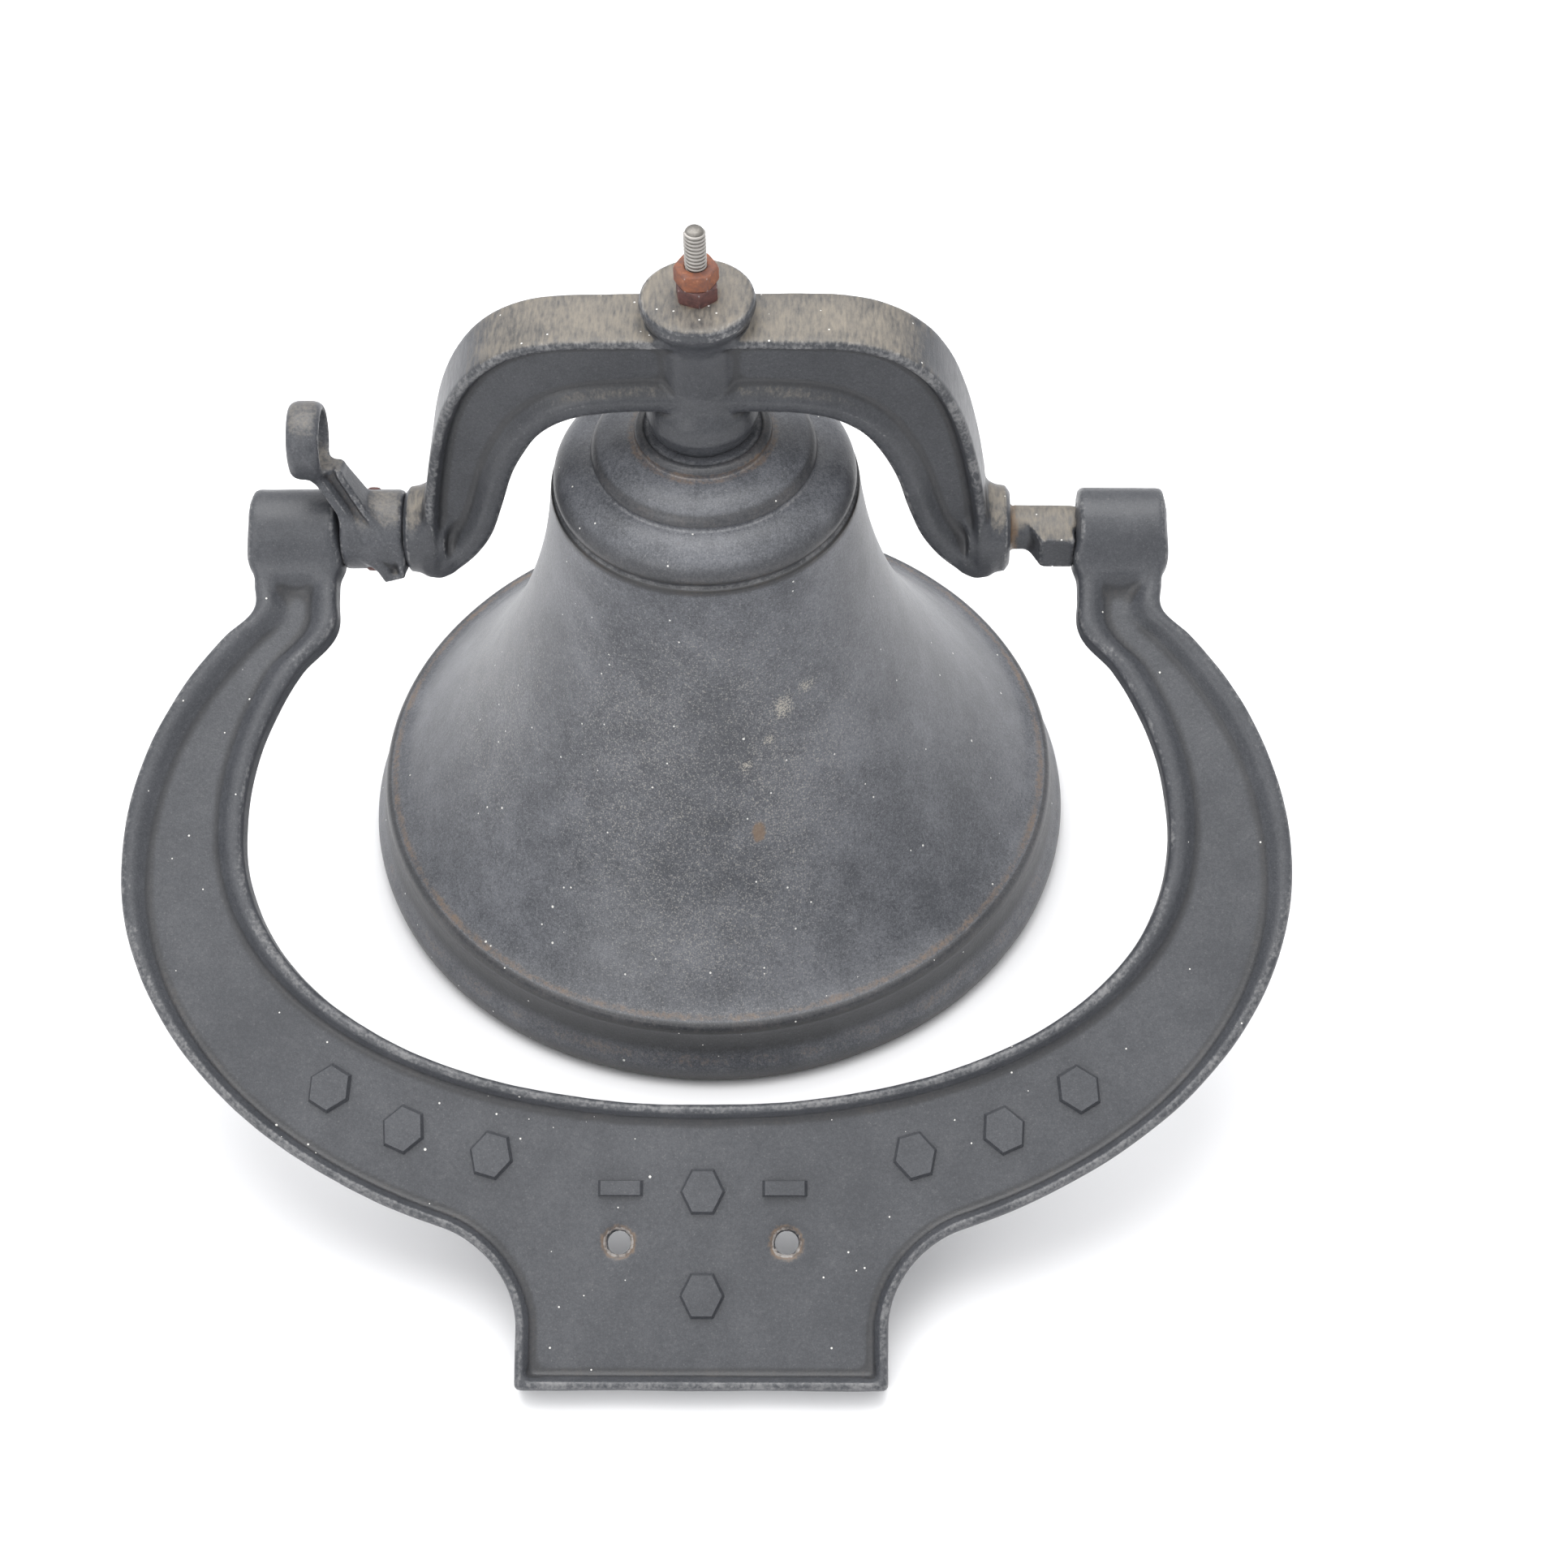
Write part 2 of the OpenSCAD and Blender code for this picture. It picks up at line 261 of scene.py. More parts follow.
def mirrored(half):
    """A half outline and its mirror image, as one outline."""
    return half + [(-x, y) for x, y in reversed(half)]


def waves(x, y, z, height):
    """The slight unevenness of a sand casting."""
    slow = np.sin(x / 7.1 + 1.3 * np.sin(y / 9.7)) * np.sin(y / 8.3 + z / 11.9 + 0.7)
    quick = np.sin(x / 2.9 + z / 4.1 + 2.1) * np.sin(y / 3.3 - x / 5.7)
    return height * (0.7 * slow + 0.3 * quick)


# ---- meshes ------------------------------------------------------------------------------

def netted(distance, low, high, pitch):
    """Points and four-cornered faces of the surface where a distance is nought.

    Every cell of a grid that the surface crosses gets one point, at the mean of its crossings,
    and every crossed grid line joins the four cells around it. The points are then drawn onto
    the surface along its slope.
    """
    low = np.array(low, float)
    counts = np.ceil((np.array(high, float) - low) / pitch).astype(int) + 1
    x, y, z = [low[i] + pitch * np.arange(counts[i]) for i in range(3)]
    values = np.broadcast_to(distance(x[:, None, None], y[None, :, None], z[None, None, :]), counts)
    inside = values < 0
    keys, places, turned = [], [], []
    for along in range(3):
        first = [slice(None)] * 3
        second = [slice(None)] * 3
        first[along], second[along] = slice(0, -1), slice(1, None)
        starts = inside[tuple(first)]
        cells = np.argwhere(starts != inside[tuple(second)])
        step = np.eye(3, dtype=int)[along]
        before = values[tuple(cells.T)]
        after = values[tuple((cells + step).T)]
        place = cells + step * (before / (before - after))[:, None]
        a, b = np.eye(3, dtype=int)[(along + 1) % 3], np.eye(3, dtype=int)[(along + 2) % 3]
        around = np.stack([cells - a - b, cells - b, cells, cells - a], axis=1)
        keys.append(np.ravel_multi_index(tuple(around.reshape(-1, 3).T), counts).reshape(-1, 4))
        places.append(np.repeat(place[:, None, :], 4, axis=1))
        turned.append(~starts[tuple(cells.T)])
    keys, places, turned = np.concatenate(keys), np.concatenate(places), np.concatenate(turned)
    _, faces = np.unique(keys, return_inverse=True)
    faces = faces.reshape(-1, 4)
    number = np.bincount(faces.ravel())
    means = [np.bincount(faces.ravel(), places[:, :, i].ravel()) / number for i in range(3)]
    points = low + pitch * np.stack(means, axis=1)
    faces[turned] = faces[turned][:, ::-1]
    probe = 0.25 * pitch
    for _ in range(3):
        here = distance(*points.T)
        slopes = []
        for unit in np.eye(3):
            beyond, before = distance(*(points + probe * unit).T), distance(*(points - probe * unit).T)
            slopes.append((beyond - before) / (2 * probe))
        slope = np.stack(slopes, axis=1)
        move = here / np.maximum((slope ** 2).sum(axis=1), 0.15)
        points -= slope * np.clip(move, -0.5 * pitch, 0.5 * pitch)[:, None]
    return points, faces


def meshed(name, points, faces, place):
    """A mesh from points in millimetres, moved to its place."""
    mesh = bpy.data.meshes.new(name)
    mesh.from_pydata([tuple(p) for p in points], [], [tuple(f) for f in faces])
    mesh.transform(place)
    mesh.update()
    return mesh


def cast(name, distance, low, high, pitch, place):
    """The mesh of a distance, at its place."""
    points, faces = netted(distance, low, high, pitch)
    return meshed(name, points, faces.tolist(), place)


def merged(name, meshes):
    """Several meshes as one."""
    points, faces = [], []
    for mesh in meshes:
        start = len(points)
        points += [tuple(v.co) for v in mesh.vertices]
        faces += [[start + i for i in polygon.vertices] for polygon in mesh.polygons]
        bpy.data.meshes.remove(mesh)
    return meshed(name, points, faces, Matrix.Identity(4))


def weathered(mesh, sharp=0.12):
    """Marks each point by how sharp, how hollow and how level the surface is there.

    The finishes read these marks for worn edges, for painted shade and stains in corners, and for dust.
    """
    count = len(mesh.vertices)
    points, normals = np.empty(count * 3), np.empty(count * 3)
    mesh.vertices.foreach_get("co", points)
    mesh.vertices.foreach_get("normal", normals)
    points, normals = points.reshape(-1, 3) / MM, normals.reshape(-1, 3)
    ends = np.empty(len(mesh.edges) * 2, int)
    mesh.edges.foreach_get("vertices", ends)
    ends = ends.reshape(-1, 2)
    both = np.concatenate([ends, ends[:, ::-1]])
    number = np.maximum(np.bincount(both[:, 0], minlength=count), 1)
    across = points[both[:, 1]] - points[both[:, 0]]
    rise = (across * normals[both[:, 0]]).sum(axis=1) / np.maximum((across ** 2).sum(axis=1), 1e-6)
    bend = -np.bincount(both[:, 0], rise, minlength=count) / number

    def spread(value, times):
        for _ in range(times):
            value = 0.5 * value + 0.5 * np.bincount(both[:, 0], value[both[:, 1]], minlength=count) / number
        return value

    marks = {
        "edge": ease(0.25 * sharp, sharp, spread(bend, 2)),
        "hollow": ease(0.12 * sharp, 0.5 * sharp, spread(-bend, 8)),
        "level": ease(0.0, 1.0, normals[:, 2]),
    }
    for mark, value in marks.items():
        layer = mesh.attributes.new(mark, "FLOAT", "POINT")
        layer.data.foreach_set("value", np.ascontiguousarray(value, np.float32))


def marked(mesh, mark, value, place):
    """Marks each point of a mesh by a value worked out in the millimetres of its place."""
    points = np.empty(len(mesh.vertices) * 3)
    mesh.vertices.foreach_get("co", points)
    back = np.array(place.inverted())
    points = points.reshape(-1, 3) @ back[:3, :3].T + back[:3, 3]
    layer = mesh.attributes.new(mark, "FLOAT", "POINT")
    layer.data.foreach_set("value", np.ascontiguousarray(value(*points.T), np.float32))


def piece(name, mesh, coat, body, nodes=(), sharp=0.12, smooth=True):
    """Finishes a mesh as a piece that rides on a body and stands for CAD nodes."""
    mesh.name = name
    mesh.polygons.foreach_set("use_smooth", [smooth] * len(mesh.polygons))
    weathered(mesh, sharp)
    mesh.materials.clear()
    mesh.materials.append(finish(coat))
    made = bpy.data.objects.new(name, mesh)
    bpy.context.scene.collection.objects.link(made)
    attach(made, body)
    if nodes:
        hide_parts(*nodes)
    return made


# ---- node trees --------------------------------------------------------------------------

class Wire:
    """A socket that takes part in sums, so that node maths reads as Python."""

    def __init__(self, graph, socket):
        self.graph = graph
        self.socket = socket

    def maths(self, operation, *values):
        inputs = dict(enumerate(values))
        return self.graph.node("ShaderNodeMath", {"operation": operation}, inputs)

    def __add__(self, other):
        return self.maths("ADD", self, other)

    def __sub__(self, other):
        return self.maths("SUBTRACT", self, other)

    def __rsub__(self, other):
        return self.maths("SUBTRACT", other, self)

    def __mul__(self, other):
        return self.maths("MULTIPLY", self, other)

    def __truediv__(self, other):
        return self.maths("DIVIDE", self, other)

    def __neg__(self):
        return self.maths("MULTIPLY", self, -1.0)

    def under(self, limit):
        return self.maths("LESS_THAN", self, limit)

    __radd__ = __add__
    __rmul__ = __mul__


class Graph:
    """A node tree, with one way of adding a node to it."""

    def __init__(self, tree):
        self.tree = tree
        self.tree.nodes.clear()

    def node(self, kind, settings=None, inputs=None, output=0):
        """Adds a node: its settings first, then the values or wires of its sockets."""
        node = self.tree.nodes.new(kind)
        for name, value in (settings or {}).items():
            setattr(node, name, value)
        for name, value in (inputs or {}).items():
            if isinstance(value, Wire):
                self.tree.links.new(value.socket, node.inputs[name])
            else:
                node.inputs[name].default_value = value
        return Wire(self, node.outputs[output]) if len(node.outputs) else None

    def between(self, value, low, high):
        """0 below low, 1 above high, and an S between."""
        return self.node("ShaderNodeMapRange", {"interpolation_type": "SMOOTHSTEP"},
                         {"Value": value, "From Min": low, "From Max": high})


class Finish(Graph):
    """A material in the making."""

    def __init__(self, name):
        self.material = bpy.data.materials.new(name)
        self.material.use_nodes = True
        super().__init__(self.material.node_tree)
        self.place = self.node("ShaderNodeTexCoord", output="Object")

    def mark(self, name):
        """One of the marks that weathered leaves on a mesh."""
        return self.node("ShaderNodeAttribute", {"attribute_name": name}, output="Fac")

    def noise(self, grain, detail=3.0, rough=0.55, stretch=None, seed=0.0):
        """Cloudy noise with features about grain millimetres across."""
        place = self.place
        if stretch:
            place = self.node("ShaderNodeMapping", None, {"Vector": place, "Scale": stretch})
        return self.node("ShaderNodeTexNoise", {"noise_dimensions": "4D"},
                         {"Vector": place, "Scale": 1 / (grain * MM), "Detail": detail,
                          "Roughness": rough, "W": seed})

    def specks(self, spacing, radius, share_of_cells, seed=0.0):
        """Small round specks in some cells of a loose grid."""
        moved = self.node("ShaderNodeMapping", None, {"Vector": self.place, "Location": (seed, seed, seed)})
        cell = {"Vector": moved, "Scale": 1 / (spacing * MM)}
        near = self.node("ShaderNodeTexVoronoi", None, cell, "Distance").under(radius / spacing)
        lot = self.node("ShaderNodeTexVoronoi", None, cell, "Color")
        number = self.node("ShaderNodeSeparateColor", None, {"Color": lot}, "Red")
        return near * number.under(share_of_cells)

    def mix(self, first, second, amount):
        """From the first colour to the second."""
        def full(value):
            return value if isinstance(value, Wire) else (*value, 1.0)
        return self.node("ShaderNodeMix", {"data_type": "RGBA"},
                         {0: amount, 6: full(first), 7: full(second)}, 2)

    def finished(self, colour_wire, rough, height, depth, metallic=0.0):
        """Ends the material: depth is the height of its relief in millimetres."""
        bump = self.node("ShaderNodeBump", None,
                         {"Height": height, "Distance": depth * MM, "Strength": 1.0})
        shader = self.node("ShaderNodeBsdfPrincipled", None,
                           {"Base Color": colour_wire, "Roughness": rough, "Metallic": metallic,
                            "Normal": bump})
        self.node("ShaderNodeOutputMaterial", None, {"Surface": shader})
        return self.material


def painted_iron(name, tones, seed, shade, pale, chalk, dust, wear, rust, specks, spatter, roughness,
                 grain=None):
    """Old paint on sand-cast iron: chalky clouds, painted shade, dust, stains, worn edges and pale specks.

    Shade and pale scale the dark and the chalky paint. Chalk, dust, wear and rust say how much of
    each there is, specks and spatter how many cells of a loose and of a fine grid hold a pale speck,
    and grain stretches the sand marks into brush marks.
    """
    made = Finish(name)
    edge, hollow, level = made.mark("edge"), made.mark("hollow"), made.mark("level")
    worn, stain, chalky = made.mark("worn"), made.mark("stain"), made.mark("chalky")
    cloud = made.noise(34, 4, 0.6, seed=seed)
    patch = made.noise(9, 4, 0.6, seed=seed + 1)
    sand = made.noise(1.1, 3, 0.6, seed=seed + 2, stretch=grain)
    fine = made.noise(0.45, 2, 0.5, seed=seed + 3)
    rough_patch, rough_sand, rough_fine = patch - 0.5, sand - 0.5, fine - 0.5

    clouded = made.between(cloud * 0.45 + patch * 0.3 + rough_sand * 0.4 + rough_fine * 0.5, 0.15, 0.65)
    paint = made.mix(tuple(shade * c for c in tones.paint), tuple(pale * c for c in tones.paint_pale),
                     clouded * chalk)
    grit = made.between(rough_fine * 2 + rough_sand * 0.6 + cloud * 0.3 + chalky * 0.6, 0.42, 0.75)
    grit = grit * (chalky * 0.95 + 0.3 * chalk)
    # Painted shade: the paint is darkened in hollows and wherever a piece marks it, standing in for the
    # shade that falls there.
    painted_shade = made.between(hollow, 0.1, 0.9) * 0.6 + made.mark("painted_shade")
    paint = made.mix(made.mix(paint, tones.grit, grit), tones.painted_shade, painted_shade)

    settled = level * 0.6 + patch * 0.3 + rough_sand * 0.4
    dusty = made.between(settled, 0.75 - 0.25 * dust, 1.15 - 0.3 * dust) * dust
    surface = made.mix(paint, tones.dust, dusty)
    in_corners = made.between(hollow * 0.4 + patch * 0.6 + rough_sand * 0.6, 0.62, 0.9) * rust
    in_places = made.between(stain * 0.75 + rough_patch * 0.8 + rough_sand * 0.8, 0.4, 0.9) * 0.7
    surface = made.mix(surface, tones.stain, in_corners + in_places)
    spot = made.between(made.noise(16, 3, 0.7, seed=seed + 5), 0.73, 0.77) * rust
    surface = made.mix(surface, tones.rust, spot)
    on_edges = made.between(edge * 0.8 + rough_patch * 0.6 + rough_sand * 0.8, 0.68, 1.0) * wear
    bare = on_edges + made.between(worn + rough_patch * 0.8 + rough_sand * 0.9, 0.45, 0.95) * 0.8
    surface = made.mix(surface, tones.bare, bare)

    flecks = made.specks(5.5, 0.4, specks, seed) + made.specks(17, 0.8, specks * 0.5, seed + 0.3)
    flecks = flecks + made.specks(2.4, 0.3, (level * level * level + 0.06) * spatter, seed + 0.7)
    surface = made.mix(surface, tones.fleck, flecks)
    gloss = roughness + rough_sand * 0.3 + dusty * 0.3 - bare * 0.05 + grit * 0.2
    return made.finished(surface, gloss, sand * 0.7 + fine * 0.3 + patch * 0.3, PAINT_RELIEF)


def rusted_steel(name, tones, deep, mid, light, seed):
    """Steel under a crust of rust, from dark brown to orange."""
    made = Finish(name)
    crust = made.noise(1.6, 5, 0.65, seed=seed)
    patch = made.noise(5, 3, 0.6, seed=seed + 1)
    surface = made.mix(deep, mid, made.between(crust * 0.6 + patch * 0.4, 0.36, 0.6))
    surface = made.mix(surface, light, made.between(crust, 0.58, 0.72))
    surface = made.mix(surface, tones.bare, made.between(made.mark("edge") + patch, 1.1, 1.5) * 0.5)
    return made.finished(surface, 0.62 + (crust - 0.5) * 0.4, crust + patch * 0.5, 0.22)


def dull_metal(name, base, dark, tones, seed, rough=0.42, rusty=0.3):
    """Plain metal gone dull, darker in its grooves, with a little rust."""
    made = Finish(name)
    patch = made.noise(4, 4, 0.6, seed=seed)
    fine = made.noise(0.5, 3, 0.6, seed=seed + 1)
    raised = made.between(patch * 0.5 + fine * 0.3 + made.mark("edge") * 0.5, 0.3, 0.75)
    surface = made.mix(dark, base, raised)
    rust = made.between(made.mark("hollow") * 0.4 + patch, 0.72, 0.95) * rusty
    surface = made.mix(surface, tones.rust, rust)
    return made.finished(surface, rough + (fine - 0.5) * 0.25, fine + patch, 0.05, 0.6)


def bare_iron(name, tones, seed):
    """Dark bare iron with brown stains."""
    made = Finish(name)
    patch = made.noise(7, 5, 0.62, seed=seed)
    sand = made.noise(0.9, 3, 0.6, seed=seed + 1)
    surface = made.mix(tones.oiled, tones.rust, made.between(patch + (sand - 0.5) * 0.4, 0.52, 0.8) * 0.75)
    surface = made.mix(surface, tones.bare, made.between(made.mark("edge") + patch, 1.05, 1.4) * 0.6)
    return made.finished(surface, 0.5 + (sand - 0.5) * 0.3, sand + patch * 0.6, 0.15, 0.3)


PAINT_RELIEF = 0.14
PAINTS = {
    "cradle_paint": {"seed": 1.0, "shade": 0.6, "pale": 0.85, "chalk": 0.5, "dust": 0.12, "wear": 0.32,
                     "rust": 0.05, "specks": 0.03, "spatter": 0.05, "roughness": 0.4},
    "bell_paint": {"seed": 11.0, "shade": 0.7, "pale": 1.25, "chalk": 0.95, "dust": 0.1, "wear": 0.22,
                   "rust": 0.08, "specks": 0.06, "spatter": 0.8, "roughness": 0.38},
    "yoke_paint": {"seed": 21.0, "shade": 0.5, "pale": 0.8, "chalk": 0.45, "dust": 0.8, "wear": 0.35,
                   "rust": 0.03, "specks": 0.02, "spatter": 0.1, "roughness": 0.38,
                   "grain": (1.0, 0.25, 1.0)},
    "lever_paint": {"seed": 31.0, "shade": 0.6, "pale": 0.9, "chalk": 0.7, "dust": 0.6, "wear": 0.5,
                    "rust": 0.2, "specks": 0.03, "spatter": 0.1, "roughness": 0.4},
}
RUSTS = {
    "orange_rust": {"deep": (0.14, 0.06, 0.045), "mid": (0.25, 0.09, 0.045), "light": (0.38, 0.17, 0.1),
                    "seed": 41.0},
    "brown_rust": {"deep": (0.07, 0.035, 0.034), "mid": (0.13, 0.056, 0.05), "light": (0.22, 0.1, 0.08),
                   "seed": 51.0},
}


def finish(name):
    """The named finish, made the first time it is asked for."""
    if name in bpy.data.materials:
        return bpy.data.materials[name]
    tones = bpy.context.scene.bell_finish
    if name in PAINTS:
        return painted_iron(name, tones, **PAINTS[name])
    if name in RUSTS:
        return rusted_steel(name, tones, **RUSTS[name])
    if name == "zinc":
        return dull_metal(name, tones.zinc, (0.16, 0.15, 0.135), tones, 61.0)
    if name == "dull_steel":
        return dull_metal(name, (0.3, 0.29, 0.27), (0.1, 0.095, 0.09), tones, 71.0, 0.5, 0.6)
    return bare_iron(name, tones, 81.0)


class Shaper(Graph):
    """A geometry tree in the making, with named inputs."""

    def __init__(self, name, inputs):
        tree = bpy.data.node_groups.new(name, "GeometryNodeTree")
        super().__init__(tree)
        face = tree.interface
        face.new_socket("Geometry", in_out="INPUT", socket_type="NodeSocketGeometry")
        for label, (kind, value) in inputs.items():
            socket = face.new_socket(label, in_out="INPUT", socket_type="NodeSocket" + kind)
            if value is not None:
                socket.default_value = value
        face.new_socket("Geometry", in_out="OUTPUT", socket_type="NodeSocketGeometry")
        self.entry = tree.nodes.new("NodeGroupInput")

    def given(self, label):
        """One of the tree's inputs."""
        return Wire(self, self.entry.outputs[label])

    def ended(self, geometry):
        """Ends the tree in plain geometry with its material."""
        real = self.node("GeometryNodeRealizeInstances", None, {"Geometry": geometry})
        coated = self.node("GeometryNodeSetMaterial", None,
                           {"Geometry": real, "Material": self.given("Material")})
        self.node("NodeGroupOutput", None, {0: coated})
        return self.tree


def turned_tree():
    """Turns a closed outline, drawn in X and Z, about the Z axis."""
    made = Shaper("Turned", {"Sides": ("Int", 64), "Turning radius": ("Float", 10.0),
                             "Unevenness": ("Float", 0.0), "Waviness": ("Float", 0.03),
                             "Seed": ("Float", 3.0), "Material": ("Material", None)})
    spot = made.node("GeometryNodeInputPosition")
    x = made.node("ShaderNodeSeparateXYZ", None, {0: spot})
    z = made.node("ShaderNodeSeparateXYZ", None, {0: spot}, "Z")
    flat = made.node("ShaderNodeCombineXYZ", None, {"X": x - made.given("Turning radius"), "Y": -z})
    drawn = made.node("GeometryNodeSetPosition", None,
                      {"Geometry": made.given("Geometry"), "Position": flat})
    outline = made.node("GeometryNodeMeshToCurve", None, {"Mesh": drawn})
    path = made.node("GeometryNodeCurvePrimitiveCircle", None,
                     {"Resolution": made.given("Sides"), "Radius": made.given("Turning radius")})
    path = made.node("GeometryNodeSetCurveNormal", {"mode": "Z_UP"}, {"Curve": path})
    skin = made.node("GeometryNodeCurveToMesh", None, {"Curve": path, "Profile Curve": outline})
    skin = made.node("GeometryNodeMergeByDistance", None, {"Geometry": skin, "Distance": 0.002})
    wave = made.node("ShaderNodeTexNoise", {"noise_dimensions": "4D"},
                     {"Vector": spot, "W": made.given("Seed"), "Detail": 1.0,
                      "Scale": made.given("Waviness")})
    swell = (wave - 0.5) * 2.0 * made.given("Unevenness")
    push = made.node("ShaderNodeVectorMath", {"operation": "SCALE"},
                     {0: made.node("GeometryNodeInputNormal"), "Scale": swell})
    return made.ended(made.node("GeometryNodeSetPosition", None, {"Geometry": skin, "Offset": push}))


def swept_tree():
    """Sweeps a round section along a line of points."""
    made = Shaper("Swept", {"Radius": ("Float", 1.0), "Sides": ("Int", 14), "Material": ("Material", None)})
    path = made.node("GeometryNodeMeshToCurve", None, {"Mesh": made.given("Geometry")})
    ring = made.node("GeometryNodeCurvePrimitiveCircle", None,
                     {"Resolution": made.given("Sides"), "Radius": made.given("Radius")})
    skin = made.node("GeometryNodeCurveToMesh", None,
                     {"Curve": path, "Profile Curve": ring, "Fill Caps": True})
    return made.ended(skin)


def threaded_tree():
    """Winds a ridge up a rod, from its foot to the end of the thread."""
    made = Shaper("Threaded", {"Ridge radius": ("Float", 2.9), "Ridge": ("Float", 0.45),
                               "Pitch": ("Float", 1.27), "Length": ("Float", 20.0), "Foot": ("Float", 0.0),
                               "Material": ("Material", None)})
    turns = made.given("Length") / made.given("Pitch")
    coil = made.node("GeometryNodeCurveSpiral", None,
                     {"Resolution": 28, "Rotations": turns, "Start Radius": made.given("Ridge radius"),
                      "End Radius": made.given("Ridge radius"), "Height": made.given("Length")})
    lift = made.node("ShaderNodeCombineXYZ", None, {"Z": made.given("Foot")})
    coil = made.node("GeometryNodeSetPosition", None, {"Geometry": coil, "Offset": lift})
    coil = made.node("GeometryNodeSetCurveNormal", {"mode": "Z_UP"}, {"Curve": coil})
    ridge = made.node("GeometryNodeCurvePrimitiveCircle", None,
                      {"Resolution": 6, "Radius": made.given("Ridge")})
    skin = made.node("GeometryNodeCurveToMesh", None,
                     {"Curve": coil, "Profile Curve": ridge, "Fill Caps": True})
    both = made.node("GeometryNodeJoinGeometry", None, {0: made.given("Geometry")})
    made.tree.links.new(skin.socket, both.socket.node.inputs[0])
    return made.ended(both)


def studded_tree():
    """Sets a raised mark on each point, turned about Z by the point's own turn."""
    made = Shaper("Studded", {"Radius": ("Float", 5.0), "Height": ("Float", 1.0), "Corners": ("Int", 6),
                              "Narrowing": ("Float", 0.8), "Twist": ("Float", 0.0),
                              "Material": ("Material", None)})
    radius = made.given("Radius")
    mark = made.node("GeometryNodeMeshCone", None,
                     {"Vertices": made.given("Corners"), "Radius Top": radius * made.given("Narrowing"),
                      "Radius Bottom": radius, "Depth": made.given("Height"), "Side Segments": 2})
    twist = made.node("ShaderNodeCombineXYZ", None, {"Z": made.given("Twist")})
    mark = made.node("GeometryNodeTransform", None, {"Geometry": mark, "Rotation": twist})
    turn = made.node("GeometryNodeInputNamedAttribute", None, {"Name": "turn"})
    scale = made.node("GeometryNodeInputNamedAttribute", {"data_type": "FLOAT_VECTOR"}, {"Name": "stretch"})
    about = made.node("FunctionNodeAxisAngleToRotation", None, {"Axis": (0.0, 0.0, 1.0), "Angle": turn})
    marks = made.node("GeometryNodeInstanceOnPoints", None,
                      {"Points": made.given("Geometry"), "Instance": mark, "Rotation": about,
                       "Scale": scale})
    return made.ended(marks)


TREES = {"turned": turned_tree, "swept": swept_tree, "threaded": threaded_tree, "studded": studded_tree}


def tree(kind):
    """The named geometry tree, made the first time it is asked for."""
    label = kind.capitalize()
    return bpy.data.node_groups[label] if label in bpy.data.node_groups else TREES[kind]()


def grown(kind, mesh, values, place):
    """Runs a geometry tree over a mesh, and gives its result as a plain mesh at its place."""
    shape = tree(kind)
    holder = bpy.data.objects.new("growing", mesh)
    bpy.context.scene.collection.objects.link(holder)
    modifier = holder.modifiers.new("shape", "NODES")
    modifier.node_group = shape
    for item in shape.interface.items_tree:
        if item.item_type == "SOCKET" and item.in_out == "INPUT" and item.name in values:
            modifier[item.identifier] = values[item.name]
    seen = holder.evaluated_get(bpy.context.evaluated_depsgraph_get())
    result = bpy.data.meshes.new_from_object(seen)
    holder.modifiers.remove(modifier)
    bpy.data.objects.remove(holder)
    bpy.data.meshes.remove(mesh)
    if not len(result.polygons):
        raise RuntimeError(f"the {kind} tree gave no faces")
    result.transform(place)
    return result


def line_mesh(points, closed=False):
    """Points joined in a row."""
    mesh = bpy.data.meshes.new("line")
    links = [(i, i + 1) for i in range(len(points) - 1)]
    if closed:
        links.append((len(points) - 1, 0))
    mesh.from_pydata(points, links, [])
    return mesh


def softened(points, times, closed=True):
    """An outline with its corners cut off again and again, until they are round."""
    for _ in range(times):
        after = points[1:] + points[:1]
        pairs = list(zip(points, after)) if closed else list(zip(points, points[1:]))
        cuts = [[(0.75 * a[0] + 0.25 * b[0], 0.75 * a[1] + 0.25 * b[1]),
                 (0.25 * a[0] + 0.75 * b[0], 0.25 * a[1] + 0.75 * b[1])] for a, b in pairs]
        middle = [p for pair in cuts for p in pair]
        points = middle if closed else [points[0]] + middle + [points[-1]]
    return points


def turned(outline, place, finish_name, sides=64, uneven=0.0, turning_radius=10.0):
    """The mesh of an outline turned about Z, drawn as distance from the axis and height."""
    drawn = line_mesh([(r, 0.0, z) for r, z in outline], closed=True)
    values = {"Sides": sides, "Unevenness": uneven, "Turning radius": turning_radius,
              "Material": finish(finish_name)}
    return grown("turned", drawn, values, place)


# ---- pieces ------------------------------------------------------------------------------

NECK_IN, NECK_OUT = 112.0, 137.0
HUB_IN, HUB_OUT, HUB_R = 112.0, 137.8, 12.1
HUB_BORE = 6.8
# The crescent's two eggs: middle, reach up, reach down, and the power of the lower half.
OUTER_EGG = (-104, 127, 118.5, 2)
LOOP_EGG = (-93, 106.5, 81.8, 2.15)
LOOP_HALF_WIDTH = 137.8
CAST_WAVES = 0.13
HOLE = Vector(MOUNTS["foot_bolt_left"]["pos_m"]) / MM - AXIS
HOLE_X = abs(HOLE.x)
HOLE_Y = HOLE.y * math.cos(LEAN) + HOLE.z * math.sin(LEAN)
HOLE_R = MOUNTS["foot_bolt_left"]["dims"]["r_mm"]


